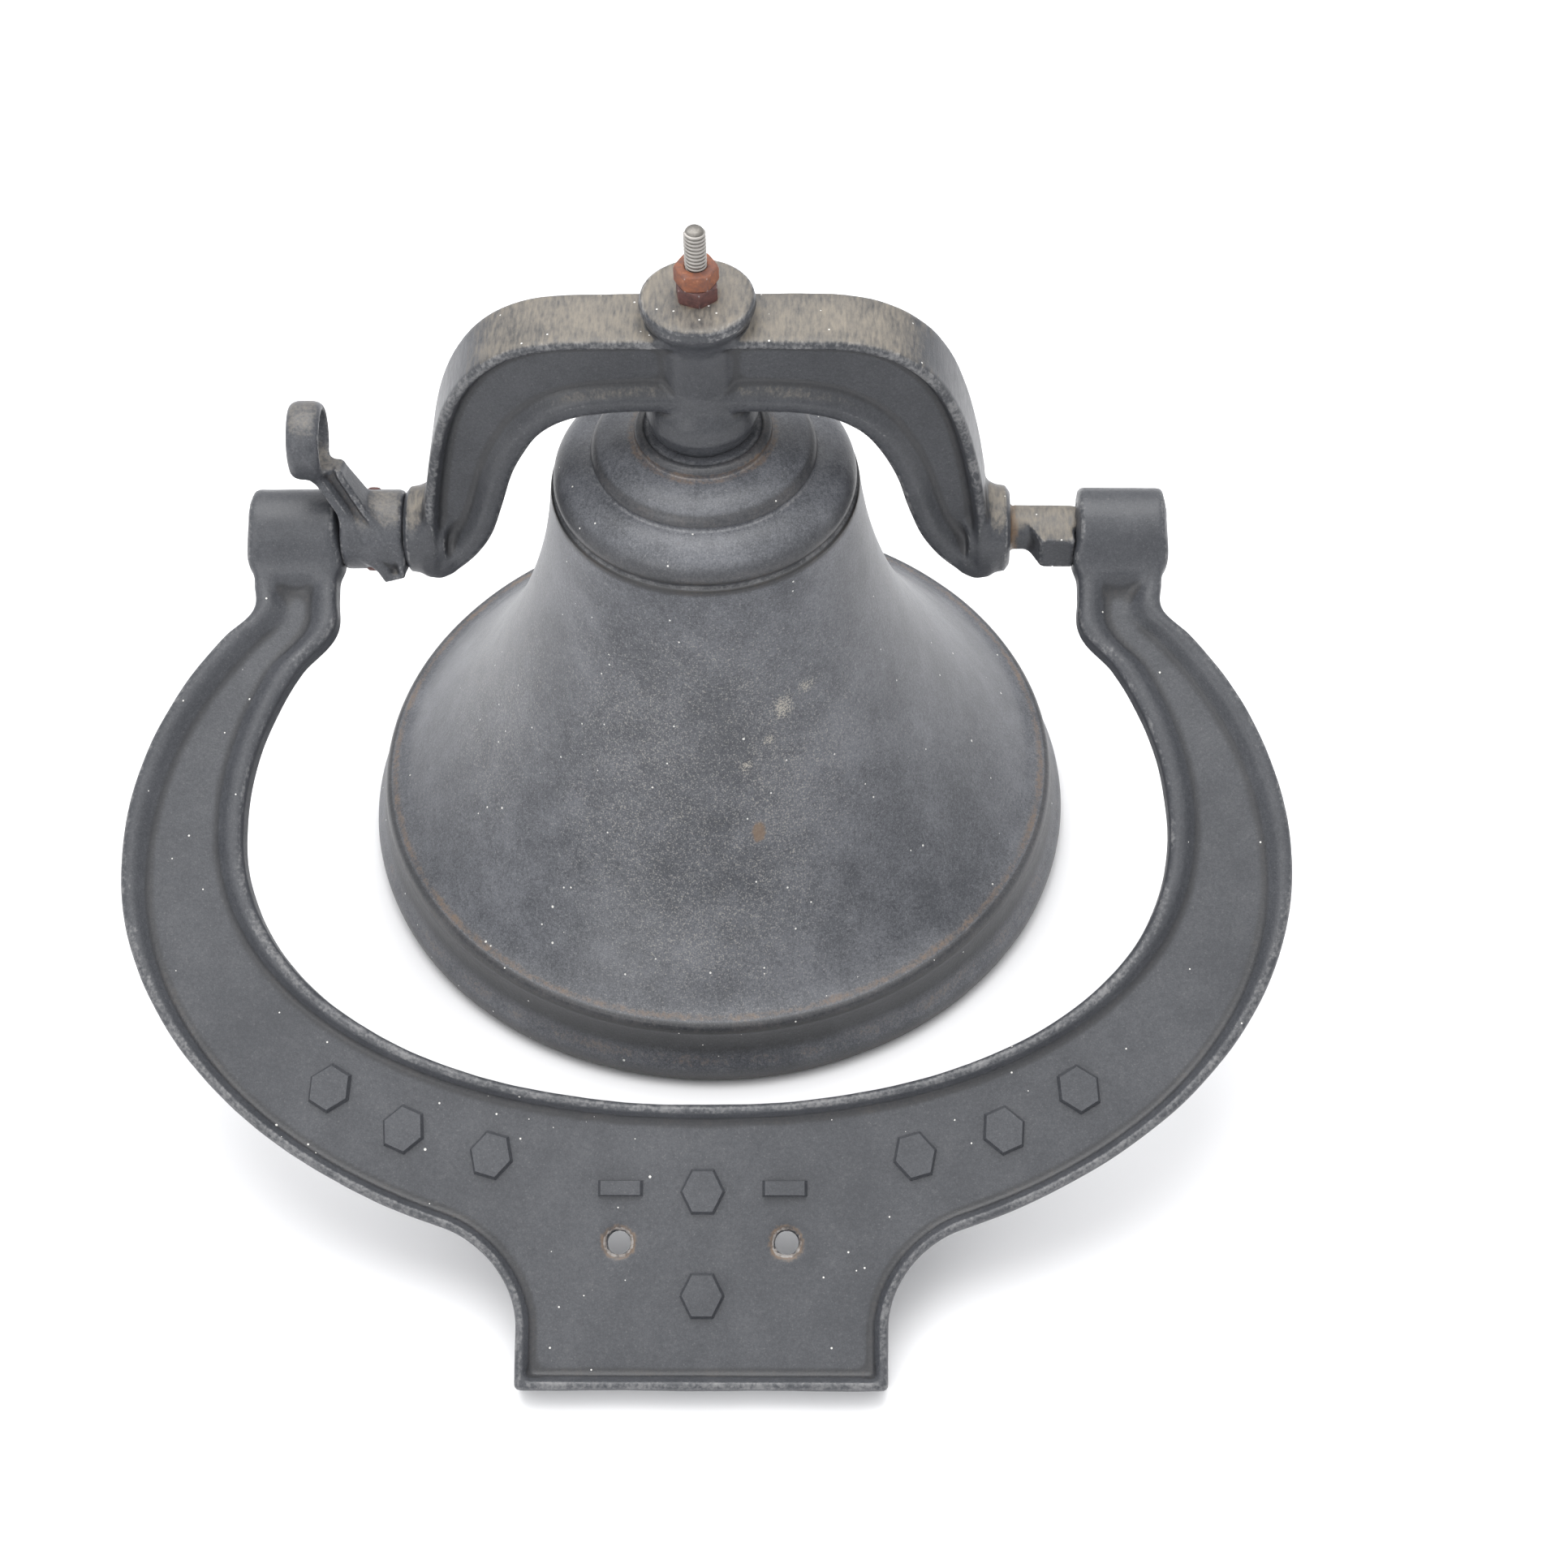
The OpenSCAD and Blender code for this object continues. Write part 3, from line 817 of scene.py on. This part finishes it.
def cradle_distance(s):
    """The cradle, drawn flat: X across, Y up towards the trunnions, Z out of its front face."""
    def shape(x, y, z):
        outward, inward = ease(-34, -18, y), ease(-44, -22, y)
        middle, up, down, power = OUTER_EGG
        outer = egg(x, y, middle, s.half_width, up, down, power)
        outer = outer * (1 - outward) + (np.abs(x) - NECK_OUT) * outward
        middle, up, down, power = LOOP_EGG
        loop = egg(x, y, middle, LOOP_HALF_WIDTH, up, down, power)
        loop = loop * (1 - inward) + (np.abs(x) - NECK_IN) * inward
        foot = np.maximum(meet(np.abs(x) - s.foot, -y - s.length, 2), y + 200)
        outer = filleted(outer, foot, 22)
        flat = np.maximum(np.maximum(outer, -loop), y - 2)
        # The rims are narrow around the foot and broad along the arms, and the web ends at the hubs.
        depth = join(np.minimum(-outer, loop), -y - 11.5, 4)
        broad = 0.55 + 0.5 * ease(-190, -80, y)
        top = s.thickness / 2 - s.hollow * ease(s.crest * broad, (s.crest + s.slope) * broad, depth)
        plate = meet(meet(flat, z - top, s.edge), -z - s.thickness / 2, 2.0)
        from_axis, along = np.hypot(y, z), np.abs(x) - (HUB_IN + HUB_OUT) / 2
        round_hub = drum(from_axis, along, HUB_R, (HUB_OUT - HUB_IN) / 2, 2.2)
        body = join(plate, round_hub, 6) + waves(x, y, z, CAST_WAVES)
        body = cut(body, from_axis - HUB_BORE, 0.9)
        mouth = HOLE_R + np.clip((z - s.thickness / 2 + s.hollow + 1.2) * 1.4, 0, 3)
        return cut(body, np.hypot(np.abs(x) - HOLE_X, y - HOLE_Y) - mouth, 0.5)
    return shape


def cast_marks(s):
    """The raised lozenges and bars on the cradle's web."""
    web = s.thickness / 2 - s.hollow
    lozenges = [(side * x, y, math.radians(side * turn)) for side in (-1, 1)
                for x, y, turn in ((110, -170, 32), (88, -182, 24), (62, -189.5, 16))]
    lozenges += [(0, -200, 0.0), (0, -230, 0.0)]
    bars = [(-24, -199, 0.0), (24, -199, 0.0)]
    # Each kind: its places, corners, stretch, radius and twist.
    kinds = ((lozenges, 6, (1.0, 1.15, 1.0), 6.8, 0.0),
             (bars, 4, (1.75, 0.62, 1.0), 5.4, math.pi / 4))
    meshes = []
    for places, corners, stretch, radius, twist in kinds:
        holder = bpy.data.meshes.new("marks")
        holder.from_pydata([(x, y, web - 0.3) for x, y, _ in places], [], [])
        turns = holder.attributes.new("turn", "FLOAT", "POINT")
        turns.data.foreach_set("value", [turn for _, _, turn in places])
        shapes = holder.attributes.new("stretch", "FLOAT_VECTOR", "POINT")
        shapes.data.foreach_set("vector", [value for _ in places for value in stretch])
        values = {"Radius": radius, "Height": 2.3, "Corners": corners, "Narrowing": 0.86,
                  "Twist": twist, "Material": finish("cradle_paint")}
        meshes.append(grown("studded", holder, values, LEANING))
    return merged("marks", meshes)


class BELL_OT_cradle(bpy.types.Operator):
    """Casts the crescent cradle with its rims, foot and two trunnion hubs"""
    bl_idname = "bell.cradle"
    bl_label = "Cradle"

    def execute(self, context):
        s = settings(context.scene.bell_cradle)
        low = (-s.half_width - 4, -s.length - 4, -HUB_R - 3)
        high = (s.half_width + 4, HUB_R + 3, HUB_R + 3)
        mesh = cast("cradle", cradle_distance(s), low, high, s.grid, LEANING)

        def from_hole(x, y, z):
            return np.where(z > 0, np.hypot(np.abs(x) - HOLE_X, y - HOLE_Y), 99)
        marked(mesh, "worn", lambda x, y, z: 0.75 * (1 - ease(4.2, 5.2, from_hole(x, y, z))), LEANING)
        marked(mesh, "stain", lambda x, y, z: 1 - ease(4.6, 7.0, from_hole(x, y, z)), LEANING)
        piece("cradle_casting", mesh, "cradle_paint", "cradle", ["cradle"])
        piece("cradle_marks", cast_marks(s), "cradle_paint", "cradle",
              sharp=3.0, smooth=False)
        return {"FINISHED"}


def bell_outline(s):
    """The bell's wall, up its outside and down its inside."""
    m = s.mouth
    outside = [(m - 2.9, 0.0), (m - 0.8, 1.9), (m, 4.6), (m - 0.4, 7.8), (m - 2.3, 11.0), (m - 4.0, 15.0),
               (m - 4.7, 19.0), (m - 4.4, 22.4), (m - 5.4, 24.6), (m - 7.6, 25.2)]
    outside += arc(253.8, 170.1, 208.3, 223.3, 185, 24)
    outside += [(46.1, 152.7), (45.2, 153.0), (44.8, 153.6), (45.3, 154.8), (45.2, 157.0), (44.0, 159.6),
                (41.6, 162.0), (38.4, 163.9), (35.6, 164.8), (34.0, 165.0), (33.5, 165.4), (33.6, 166.4),
                (32.9, 168.2),
                (30.8, 169.8), (27.6, 171.4), (23.6, 172.4), (20.6, 172.7), (20.2, 173.0), (20.3, 174.4),
                (19.8, 175.3), (18.6, 175.9), (17.5, 175.7), (16.9, 175)]
    inside = [(3.6, 175), (3.6, 167.5), (20, 167), (29, 163.6), (36, 158.5)]
    inside += arc(253.8, 170.1, 208.3 + s.wall, 185, 221.5, 16)
    inside += [(m - 13.9, 10), (m - 11.9, 3), (m - 10.7, 0)]
    return softened(outside + inside, 2)


class BELL_OT_bell(bpy.types.Operator):
    """Turns the flared bell from its outline"""
    bl_idname = "bell.bell"
    bl_label = "Bell"

    def execute(self, context):
        s = settings(context.scene.bell_bell)
        mesh = turned(bell_outline(s), STANDING, "bell_paint", s.sides, s.unevenness, 60.0)

        def stain(x, y, z):
            out = np.hypot(x, y)
            bead = 0.85 * (1 - ease(0.5, 2.8, np.hypot(out - s.mouth + 8.0, z - 25.6)))
            collar = 0.8 * (1 - ease(1.0, 3.5, np.hypot(out - 20.6, z - 172.9)))
            step = 0.45 * (1 - ease(0.5, 2.2, np.hypot(out - 33.6, z - 164.8)))
            lip = 0.6 * (1 - ease(1.0, 5.0, np.hypot(out - s.mouth + 1.5, z - 11)))
            return np.maximum(np.maximum(bead, collar), np.maximum(step, lip))

        def chalky(x, y, z):
            front = (1 - ease(20, 75, np.hypot(x + 4, 0.8 * (z - 82)))) * (y < 0)
            smudges = [(23, 107, 5.0, 7.0), (19, 98, 3.0, 3.0), (12, 91, 3.5, 3.5), (30, 111, 4.0, 3.0)]
            marks = [0.85 - 0.85 * ease(0.0, 1.2, np.hypot((x - a) / w, (z - b) / h))
                     for a, b, w, h in smudges]
            leftward = ease(0.55, 0.95, -x / np.maximum(np.hypot(x, y), 1))
            flank = leftward * ease(30, 60, z) * (1 - ease(100, 135, z))
            return np.maximum(np.maximum(0.34 * front, 0.3 * flank), np.max(marks, axis=0) * (y < 0))

        # Painted shade: darker in the cove above the lip, along the foot of the lip and in the crease under
        # the shoulder, where less light falls.
        def painted_shade(x, y, z):
            cove = 1 - ease(2.5, 6.5, np.abs(z - 17.5))
            foot = 1 - ease(1.0, 7.0, z)
            crease = 1 - ease(0.4, 3.0, np.hypot(np.hypot(x, y) - 45.0, z - 153.4))
            return np.maximum(np.maximum(0.75 * cove, 0.7 * foot), 0.6 * crease) * (np.hypot(x, y) > 42)

        def worn(x, y, z):
            return 0.75 * (1 - ease(0.1, 1.0, np.hypot((x - 12.5) / 2.2, (z - 90.5) / 2.0))) * (y < 0)

        def rusty(x, y, z):
            return (1 - ease(0.2, 1.0, np.hypot((x - 15.4) / 3.6, (z - 70.7) / 5.0))) * (y < 0)
        marked(mesh, "chalky", chalky, STANDING)
        marked(mesh, "painted_shade", painted_shade, STANDING)
        marked(mesh, "worn", worn, STANDING)
        marked(mesh, "stain", lambda x, y, z: np.maximum(stain(x, y, z), 1.4 * rusty(x, y, z)), STANDING)
        piece("bell_casting", mesh, "bell_paint", "bell", ["bell"], sharp=0.1)
        return {"FINISHED"}


def yoke_distance(s):
    """The yoke, drawn standing: X along the trunnions, Z up from the mouth."""
    outer_line = mirrored([(0.0, s.top), (28.0, s.top), (44.0, s.top - 0.6), (56.0, s.top - 4.2),
                           (66.0, 205.0), (73.0, 194.5), (78.0, 180.5), (81.8, 162.0), (84.6, 143.0),
                           (84.6, 110.0)])
    outer_line = softened(outer_line, 2)
    void_line = mirrored([(0.0, 189.6), (24.0, 189.6), (38.0, 187.5), (47.5, 181.0), (53.0, 172.0),
                          (57.0, 163.0), (60.5, 150.0), (64.0, 139.0), (69.4, 130.5), (77.0, 123.0),
                          (85.0, 119.0), (100.0, 118.0), (100.0, 100.0)])
    void_line = softened(void_line, 4)
    boss_line = mirrored([(10.5, 174.4), (13.6, 175.6), (15.6, 178.6), (16.2, 182), (15.2, 186),
                          (12.6, 190.5), (11.8, 196), (11.8, 212), (12.8, 216), (15.6, 220),
                          (16.4, 222.4), (16, 224.2), (15, DISC_TOP)])
    end_line = [(6, 79), (11.5, 79), (12.6, 82), (13.2, 86), (12.6, 89.8), (11, 91), (6, 91)]

    def shape(x, y, z):
        outer = outlined(np.abs(x), z, outer_line)
        void = outlined(np.abs(x), z, void_line)
        lift = np.maximum(1 - ease(2.2, 5.2, -outer), 1 - ease(4.2, 10.0, void))
        depth = s.width / 2 - s.hollow + s.hollow * lift
        body = meet(meet(outer, -void, 1.5), np.abs(y) - depth, 2.4)
        out = np.hypot(x, y)
        body = join(body, outlined(out, z, boss_line) - 0.3, 2.0)
        from_axis = np.hypot(y, z - AXIS.z)
        ends = outlined(from_axis, np.abs(x), [(-r, a) for r, a in end_line] + end_line[::-1])
        body = join(body, ends - 0.3, 4)
        rod = drum(from_axis, np.abs(x) - 110.5, s.trunnion, 26.5, 1.2)
        body = join(body, rod, 1.6)
        lug = np.maximum(meet(-y - 11, y - 4, 1), np.abs(z - AXIS.z) - 5.4)
        lug = meet(lug, np.maximum(98.0 - x - (y + 6) * 0.5, x - 110.6), 0.9)
        body = join(body, lug, 1.5)
        return body + waves(x, z, y, 0.12)
    return shape


class BELL_OT_yoke(bpy.types.Operator):
    """Casts the arched yoke with its crown boss, end flanges and trunnions"""
    bl_idname = "bell.yoke"
    bl_label = "Yoke"

    def execute(self, context):
        s = settings(context.scene.bell_yoke)
        low = (-139, -20, 114)
        high = (139, 20, DISC_TOP + 3)
        mesh = cast("yoke", yoke_distance(s), low, high, s.grid, STANDING)

        def worn(x, y, z):
            return 0.55 * (1 - ease(0.6, 2.4, np.hypot(np.hypot(x, y) - 16, z - 222.4))) * (y < 4)

        def stain(x, y, z):
            nut_ring = 1 - ease(6.0, 10.0, np.hypot(x, y) + 3 * np.abs(z - DISC_TOP))
            corner = 1 - ease(1.0, 4.0, np.hypot(np.hypot(y, z - AXIS.z) - 6.4, np.abs(x) - 91.5))
            return np.maximum(nut_ring, corner)
        marked(mesh, "worn", worn, STANDING)
        marked(mesh, "stain", stain, STANDING)
        piece("yoke_casting", mesh, "yoke_paint", "bell", ["yoke"])
        return {"FINISHED"}


def lever_distance(s):
    """The lever, drawn upright about the trunnion axis."""
    arm_line = [(-98.0, -11.0), (-91.8, -9.5), (-91.8, 0.0), (-102.0, 13.0), (-107.5, 23.0), (-110.0, 30.0),
                (-112.5, 34.0), (-118.0, 31.0), (-117.0, 22.0)]

    def shape(x, y, z):
        hub = drum(np.hypot(y, z), x + 101.1, s.hub, 9.5, 2.2)
        arm = outlined(x, z, arm_line)
        front = 11.2 - (z + 9) * 0.23
        from_rib = (x + 98.0) * 0.8666 + (z + 11.0) * 0.499
        groove = ease(2.6, 4.6, from_rib) * ease(1.2, 3.0, -arm)
        arm = meet(arm, np.maximum(-y - front - 1.3 + 2.4 * groove, y - 3), 1.3)
        out = np.hypot(y, z - LEVER_LENGTH)
        ring = drum(out, x + 117.8, s.eye + s.eye_wall, s.eye_width / 2, 4.0)
        body = join(join(hub, arm, 2.4), ring, 3)
        body = cut(body, out - s.eye, 1.6)
        body = cut(body, np.hypot(y, z) - 6.45, 0.6)
        return body + waves(x, y, z, 0.1)
    return shape


class BELL_OT_lever(bpy.types.Operator):
    """Casts the pull lever with its eye, and drives the pin through its hub"""
    bl_idname = "bell.lever"
    bl_label = "Pull lever"

    def execute(self, context):
        s = settings(context.scene.bell_lever)
        place = framed(0, AXIS.y, AXIS.z, -LEVER_LEAN)
        mesh = cast("lever", lever_distance(s), (-126, -15, -15), (-88, 15, 48), s.grid, place)
        piece("lever_casting", mesh, "lever_paint", "bell", ["pull_lever"], sharp=0.2)
        low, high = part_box("lever_pin")
        middle = (low + high) / 2
        half = 12.6
        outline = [(0.0, -half), (1.5, -half), (2.1, 0.5 - half), (2.2, 1 - half), (2.2, half - 1),
                   (2.1, half - 0.5), (1.5, half), (0.0, half)]
        place = (Matrix.Translation(middle) @ Matrix.Rotation(math.radians(128), 4, "X")
                 @ Matrix.Scale(MM, 4))
        pin = turned(outline, place, "brown_rust", 32)
        piece("lever_pin_rod", pin, "brown_rust", "bell", ["lever_pin"], sharp=0.5)
        return {"FINISHED"}


def nut_distance(across, height, bore):
    """A hexagonal nut about Z, standing on z = 0, with chamfered corners."""
    def shape(x, y, z):
        flat = np.abs(x)
        for turn in (math.radians(60), math.radians(120)):
            flat = np.maximum(flat, np.abs(x * math.cos(turn) + y * math.sin(turn)))
        out = np.hypot(x, y)
        level = np.abs(z - height / 2) - height / 2
        body = meet(flat - across / 2, level, 0.5)
        body = meet(body, (out + 1.8 * level - across / 2 - 0.1) / 2.06, 0.4)
        hole = out - bore + 0.5 * np.clip(-level - 0.5, -0.5, 0)
        return cut(body, hole, 0.3) + waves(3 * x, 3 * y, 3 * z, 0.06)
    return shape


class BELL_OT_nuts(bpy.types.Operator):
    """Makes the three hexagonal nuts and the washer on the hanger bolt"""
    bl_idname = "bell.nuts"
    bl_label = "Nuts and washer"

    def execute(self, context):
        s = settings(context.scene.bell_fittings)
        nuts = (("crown_nut", "brown_rust", "rusty_steel", 8),
                ("lock_nut", "orange_rust", "rusty_steel", 31),
                ("inner_nut", "dull_steel", "dull_steel", 0))
        for node, coat, slot, turn in nuts:
            place = (framed(0, AXIS.y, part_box(node)[0].z / MM)
                     @ Matrix.Rotation(math.radians(turn), 4, "Z"))
            shape = nut_distance(s.nut, NUT_HEIGHT, s.bolt - 0.15)
            mesh = cast(node, shape, (-8, -8, -1), (8, 8, NUT_HEIGHT + 1), 0.3, place)
            piece(node + "_hex", mesh, coat, "bell", [node], sharp=0.7)
        thick = (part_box("inner_washer")[1].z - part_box("inner_washer")[0].z) / MM
        outline = softened([(3.4, 0), (11.2, 0), (11.5, 0.3), (11.5, thick - 0.3), (11.2, thick),
                            (3.4, thick)], 2)
        washer = turned(outline, framed(0, AXIS.y, WASHER_FOOT), "dull_steel", 72)
        piece("inner_washer_ring", washer, "dull_steel", "bell", ["inner_washer"],
              sharp=0.7)
        return {"FINISHED"}


class BELL_OT_bolt(bpy.types.Operator):
    """Makes the hanger bolt with its wound thread and its fork"""
    bl_idname = "bell.bolt"
    bl_label = "Hanger bolt"

    def execute(self, context):
        s = settings(context.scene.bell_fittings)
        pivot = PIVOT.z
        core = s.bolt - 0.42
        outline = [(0.0, pivot + 8), (core, pivot + 8), (core, BOLT_TOP - 1.2),
                   (core - 0.2, BOLT_TOP - 0.6), (core - 0.8, BOLT_TOP), (0.0, BOLT_TOP)]
        rod = turned(outline, Matrix.Identity(4), "zinc", 40)
        foot = pivot + 9.6
        values = {"Ridge radius": core + 0.02, "Ridge": 0.42, "Pitch": s.pitch, "Foot": foot,
                  "Length": BOLT_TOP - 0.9 - foot, "Material": finish("zinc")}
        rod = grown("threaded", rod, values, STANDING)

        def fork(x, y, z):
            rise = z - pivot
            cheek = meet(np.maximum(np.abs(y) - 6.5, -rise), rise - 9.5, 1)
            cheek = join(cheek, np.hypot(y, rise) - 6.5, 0.1)
            body = meet(cheek, np.abs(x) - 7, 1)
            slot = np.maximum(np.abs(x) - 3, rise - 6.6)
            return cut(cut(body, slot, 0.6), np.hypot(y, rise) - 2.54, 0.3)
        claw = cast("fork", fork, (-9, -9, pivot - 9), (9, 9, pivot + 12), 0.45, STANDING)
        mesh = merged("bolt", [rod, claw])
        piece("hanger_bolt_rod", mesh, "zinc", "bell", ["hanger_bolt"], sharp=0.9)
        return {"FINISHED"}


class BELL_OT_clapper(bpy.types.Operator):
    """Makes the clapper, the pin it hangs from and the split pin that keeps it"""
    bl_idname = "bell.clapper"
    bl_label = "Clapper"

    def execute(self, context):
        s = settings(context.scene.bell_fittings)
        pivot = PIVOT.z

        def rod(x, y, z):
            rise = z - pivot
            out = np.hypot(x, y)
            eye = drum(np.hypot(y, rise), x, 6.2, 2.6, 0.9)
            bar = meet(out - 2.6 - 1.6 * np.clip(-rise / s.clapper, 0, 1), rise + 4, 0.5)
            bar = np.maximum(bar, -rise - s.clapper + s.ball - 2)
            body = join(eye, bar, 4)
            return cut(body, np.hypot(y, rise) - 2.58, 0.4) + waves(2 * x, 2 * y, z, 0.08)
        mesh = cast("rod", rod, (-8, -8, pivot - s.clapper + s.ball - 4), (8, 8, pivot + 8), 0.6, STANDING)
        piece("clapper_rod_casting", mesh, "bare_iron", "clapper", ["clapper_rod"],
              sharp=0.4)

        def ball(x, y, z):
            rise = z - pivot + s.clapper
            out = np.hypot(x, y)
            body = np.hypot(out, rise) - s.ball
            seam = np.hypot(np.hypot(x, rise) - s.ball, y) - 0.5
            body = join(body, seam, 0.8)
            nub = drum(out, rise + s.ball - 1, 4, 3, 1.2)
            collar = drum(out, rise - s.ball + 0.5, 5.4, 2.2, 1.5)
            return join(join(body, nub, 2.5), collar, 2) + waves(2 * x, 2 * y, 2 * z, 0.12)
        drop = pivot - s.clapper
        mesh = cast("ball", ball, (-15, -15, drop - 17), (15, 15, drop + 18), 0.6, STANDING)
        piece("clapper_ball_casting", mesh, "bare_iron", "clapper", ["clapper_ball"],
              sharp=0.3)

        sideways = framed(0, AXIS.y, pivot) @ Matrix.Rotation(math.pi / 2, 4, "Y")
        outline = [(0.0, -9.5), (3.4, -9.5), (4.2, -9.1), (4.4, -8.4), (4.4, -7.0), (2.5, -7.0), (2.5, 8.9),
                   (2.0, 9.5), (0.0, 9.5)]
        pin = turned(outline, sideways, "dull_steel", 40)
        piece("clapper_pin_rod", pin, "dull_steel", "bell", ["clapper_pin"],
              sharp=0.5)
        bow = [(0.0, 5.4 - 0.9 * i, 0.0) for i in range(12)]
        bow += [(0.0, -6.7 + 1.6 * math.cos(t), 1.6 * math.sin(t)) for t in np.linspace(0.4, 5.9, 22)]
        values = {"Radius": 0.62, "Sides": 12, "Material": finish("dull_steel")}
        wire = grown("swept", line_mesh(bow), values, framed(8.2, AXIS.y, pivot))
        piece("clapper_cotter_wire", wire, "dull_steel", "bell", ["clapper_cotter"],
              sharp=0.9)
        return {"FINISHED"}


# How far the camera looks down, turns left and tips, in degrees, and where it stands.
CAMERA_TURNS = (50.305, -1.485, -1.155)
CAMERA_PLACE = (0.03855, AXIS.y * MM - 0.6535, 0.79796)


class BELL_OT_stage(bpy.types.Operator):
    """Sets up the camera, the pale floor and the soft studio light"""
    bl_idname = "bell.stage"
    bl_label = "Stage"

    def execute(self, context):
        scene = context.scene
        s = settings(scene.bell_stage)
        pitch, yaw, roll = (math.radians(turn) for turn in CAMERA_TURNS)
        ahead = Vector((math.sin(yaw) * math.cos(pitch), math.cos(yaw) * math.cos(pitch), -math.sin(pitch)))
        across = Vector((math.cos(yaw), -math.sin(yaw), 0))
        up = across.cross(ahead)
        right = across * math.cos(roll) + up * math.sin(roll)
        above = up * math.cos(roll) - across * math.sin(roll)
        data = bpy.data.cameras.new("camera")
        data.lens = s.lens
        data.sensor_width = 36
        camera = bpy.data.objects.new("camera", data)
        scene.collection.objects.link(camera)
        turn = Matrix((right, above, -ahead)).transposed().to_4x4()
        camera.matrix_world = Matrix.Translation(CAMERA_PLACE) @ turn
        scene.camera = camera

        reach, corners = 6.0, 96
        ring = [(reach * math.cos(a), reach * math.sin(a), -0.0002)
                for a in np.linspace(0, 2 * math.pi, corners, endpoint=False)]
        floor_mesh = bpy.data.meshes.new("floor")
        floor_mesh.from_pydata(ring, [], [list(range(corners))])
        made = Finish("pale_floor")
        cloud = made.noise(120, 2, 0.5)
        tone = made.mix(s.floor, tuple(0.97 * c for c in s.floor), cloud)
        floor_mesh.materials.append(made.finished(tone, 0.75, made.noise(2), 0.01))
        ground = bpy.data.objects.new("floor", floor_mesh)
        scene.collection.objects.link(ground)

        world = bpy.data.worlds.new("studio")
        scene.world = world
        world.use_nodes = True
        sky = Graph(world.node_tree)
        towards = sky.node("ShaderNodeTexCoord", output="Generated")
        height = sky.node("ShaderNodeSeparateXYZ", None, {0: towards}, "Z")
        light = sky.node("ShaderNodeMix", {"data_type": "RGBA"},
                         {0: sky.between(height, 0.0, 0.95), 6: (*s.side, 1.0), 7: (1.0, 1.0, 1.0, 1.0)}, 2)
        glow = sky.node("ShaderNodeBackground", None, {"Color": light, "Strength": s.fill})
        sky.node("ShaderNodeOutputWorld", None, {"Surface": glow})
        lights = (("top_light", (-0.1, 0.35, 1.5), s.top, 1.5),
                  ("front_light", (-0.9, -1.3, 0.9), 0.35 * s.top, 0.9))
        for name, spot, power, width in lights:
            lamp = bpy.data.lights.new(name, "AREA")
            lamp.shape = "DISK"
            lamp.size = width
            lamp.energy = power
            holder = bpy.data.objects.new(name, lamp)
            scene.collection.objects.link(holder)
            aim = (Vector((0, 0, 0.1)) - Vector(spot)).to_track_quat("-Z", "Y")
            holder.matrix_world = Matrix.Translation(spot) @ aim.to_matrix().to_4x4()
        scene.view_settings.view_transform = "Standard"
        return {"FINISHED"}


MAKERS = (BELL_OT_stage, BELL_OT_cradle, BELL_OT_bell, BELL_OT_yoke, BELL_OT_lever, BELL_OT_nuts,
          BELL_OT_bolt, BELL_OT_clapper)
SETTINGS = {"bell_cradle": CradleSettings, "bell_bell": BellSettings, "bell_yoke": YokeSettings,
            "bell_lever": LeverSettings, "bell_fittings": FittingSettings, "bell_finish": FinishSettings,
            "bell_stage": StageSettings}


class BELL_PT_panel(bpy.types.Panel):
    """Lists the pieces and their settings"""
    bl_label = "Alarm bell"
    bl_space_type = "VIEW_3D"
    bl_region_type = "UI"
    bl_category = "Alarm bell"

    def draw(self, context):
        for maker in MAKERS:
            self.layout.operator(maker.bl_idname)
        for name, group in SETTINGS.items():
            box = self.layout.box()
            box.label(text=group.__doc__)
            for setting in group.__annotations__:
                box.prop(getattr(context.scene, name), setting)


def register():
    for group in SETTINGS.values():
        bpy.utils.register_class(group)
    for name, group in SETTINGS.items():
        setattr(bpy.types.Scene, name, bpy.props.PointerProperty(type=group))
    for maker in MAKERS:
        bpy.utils.register_class(maker)
    bpy.utils.register_class(BELL_PT_panel)


def unregister():
    bpy.utils.unregister_class(BELL_PT_panel)
    for maker in reversed(MAKERS):
        bpy.utils.unregister_class(maker)
    for name, group in SETTINGS.items():
        delattr(bpy.types.Scene, name)
        bpy.utils.unregister_class(group)


def main():
    register()
    for maker in MAKERS:
        category, name = maker.bl_idname.split(".")
        if getattr(getattr(bpy.ops, category), name)() != {"FINISHED"}:
            raise RuntimeError(f"{maker.bl_idname} did not finish")


if __name__ == "__main__":
    main()
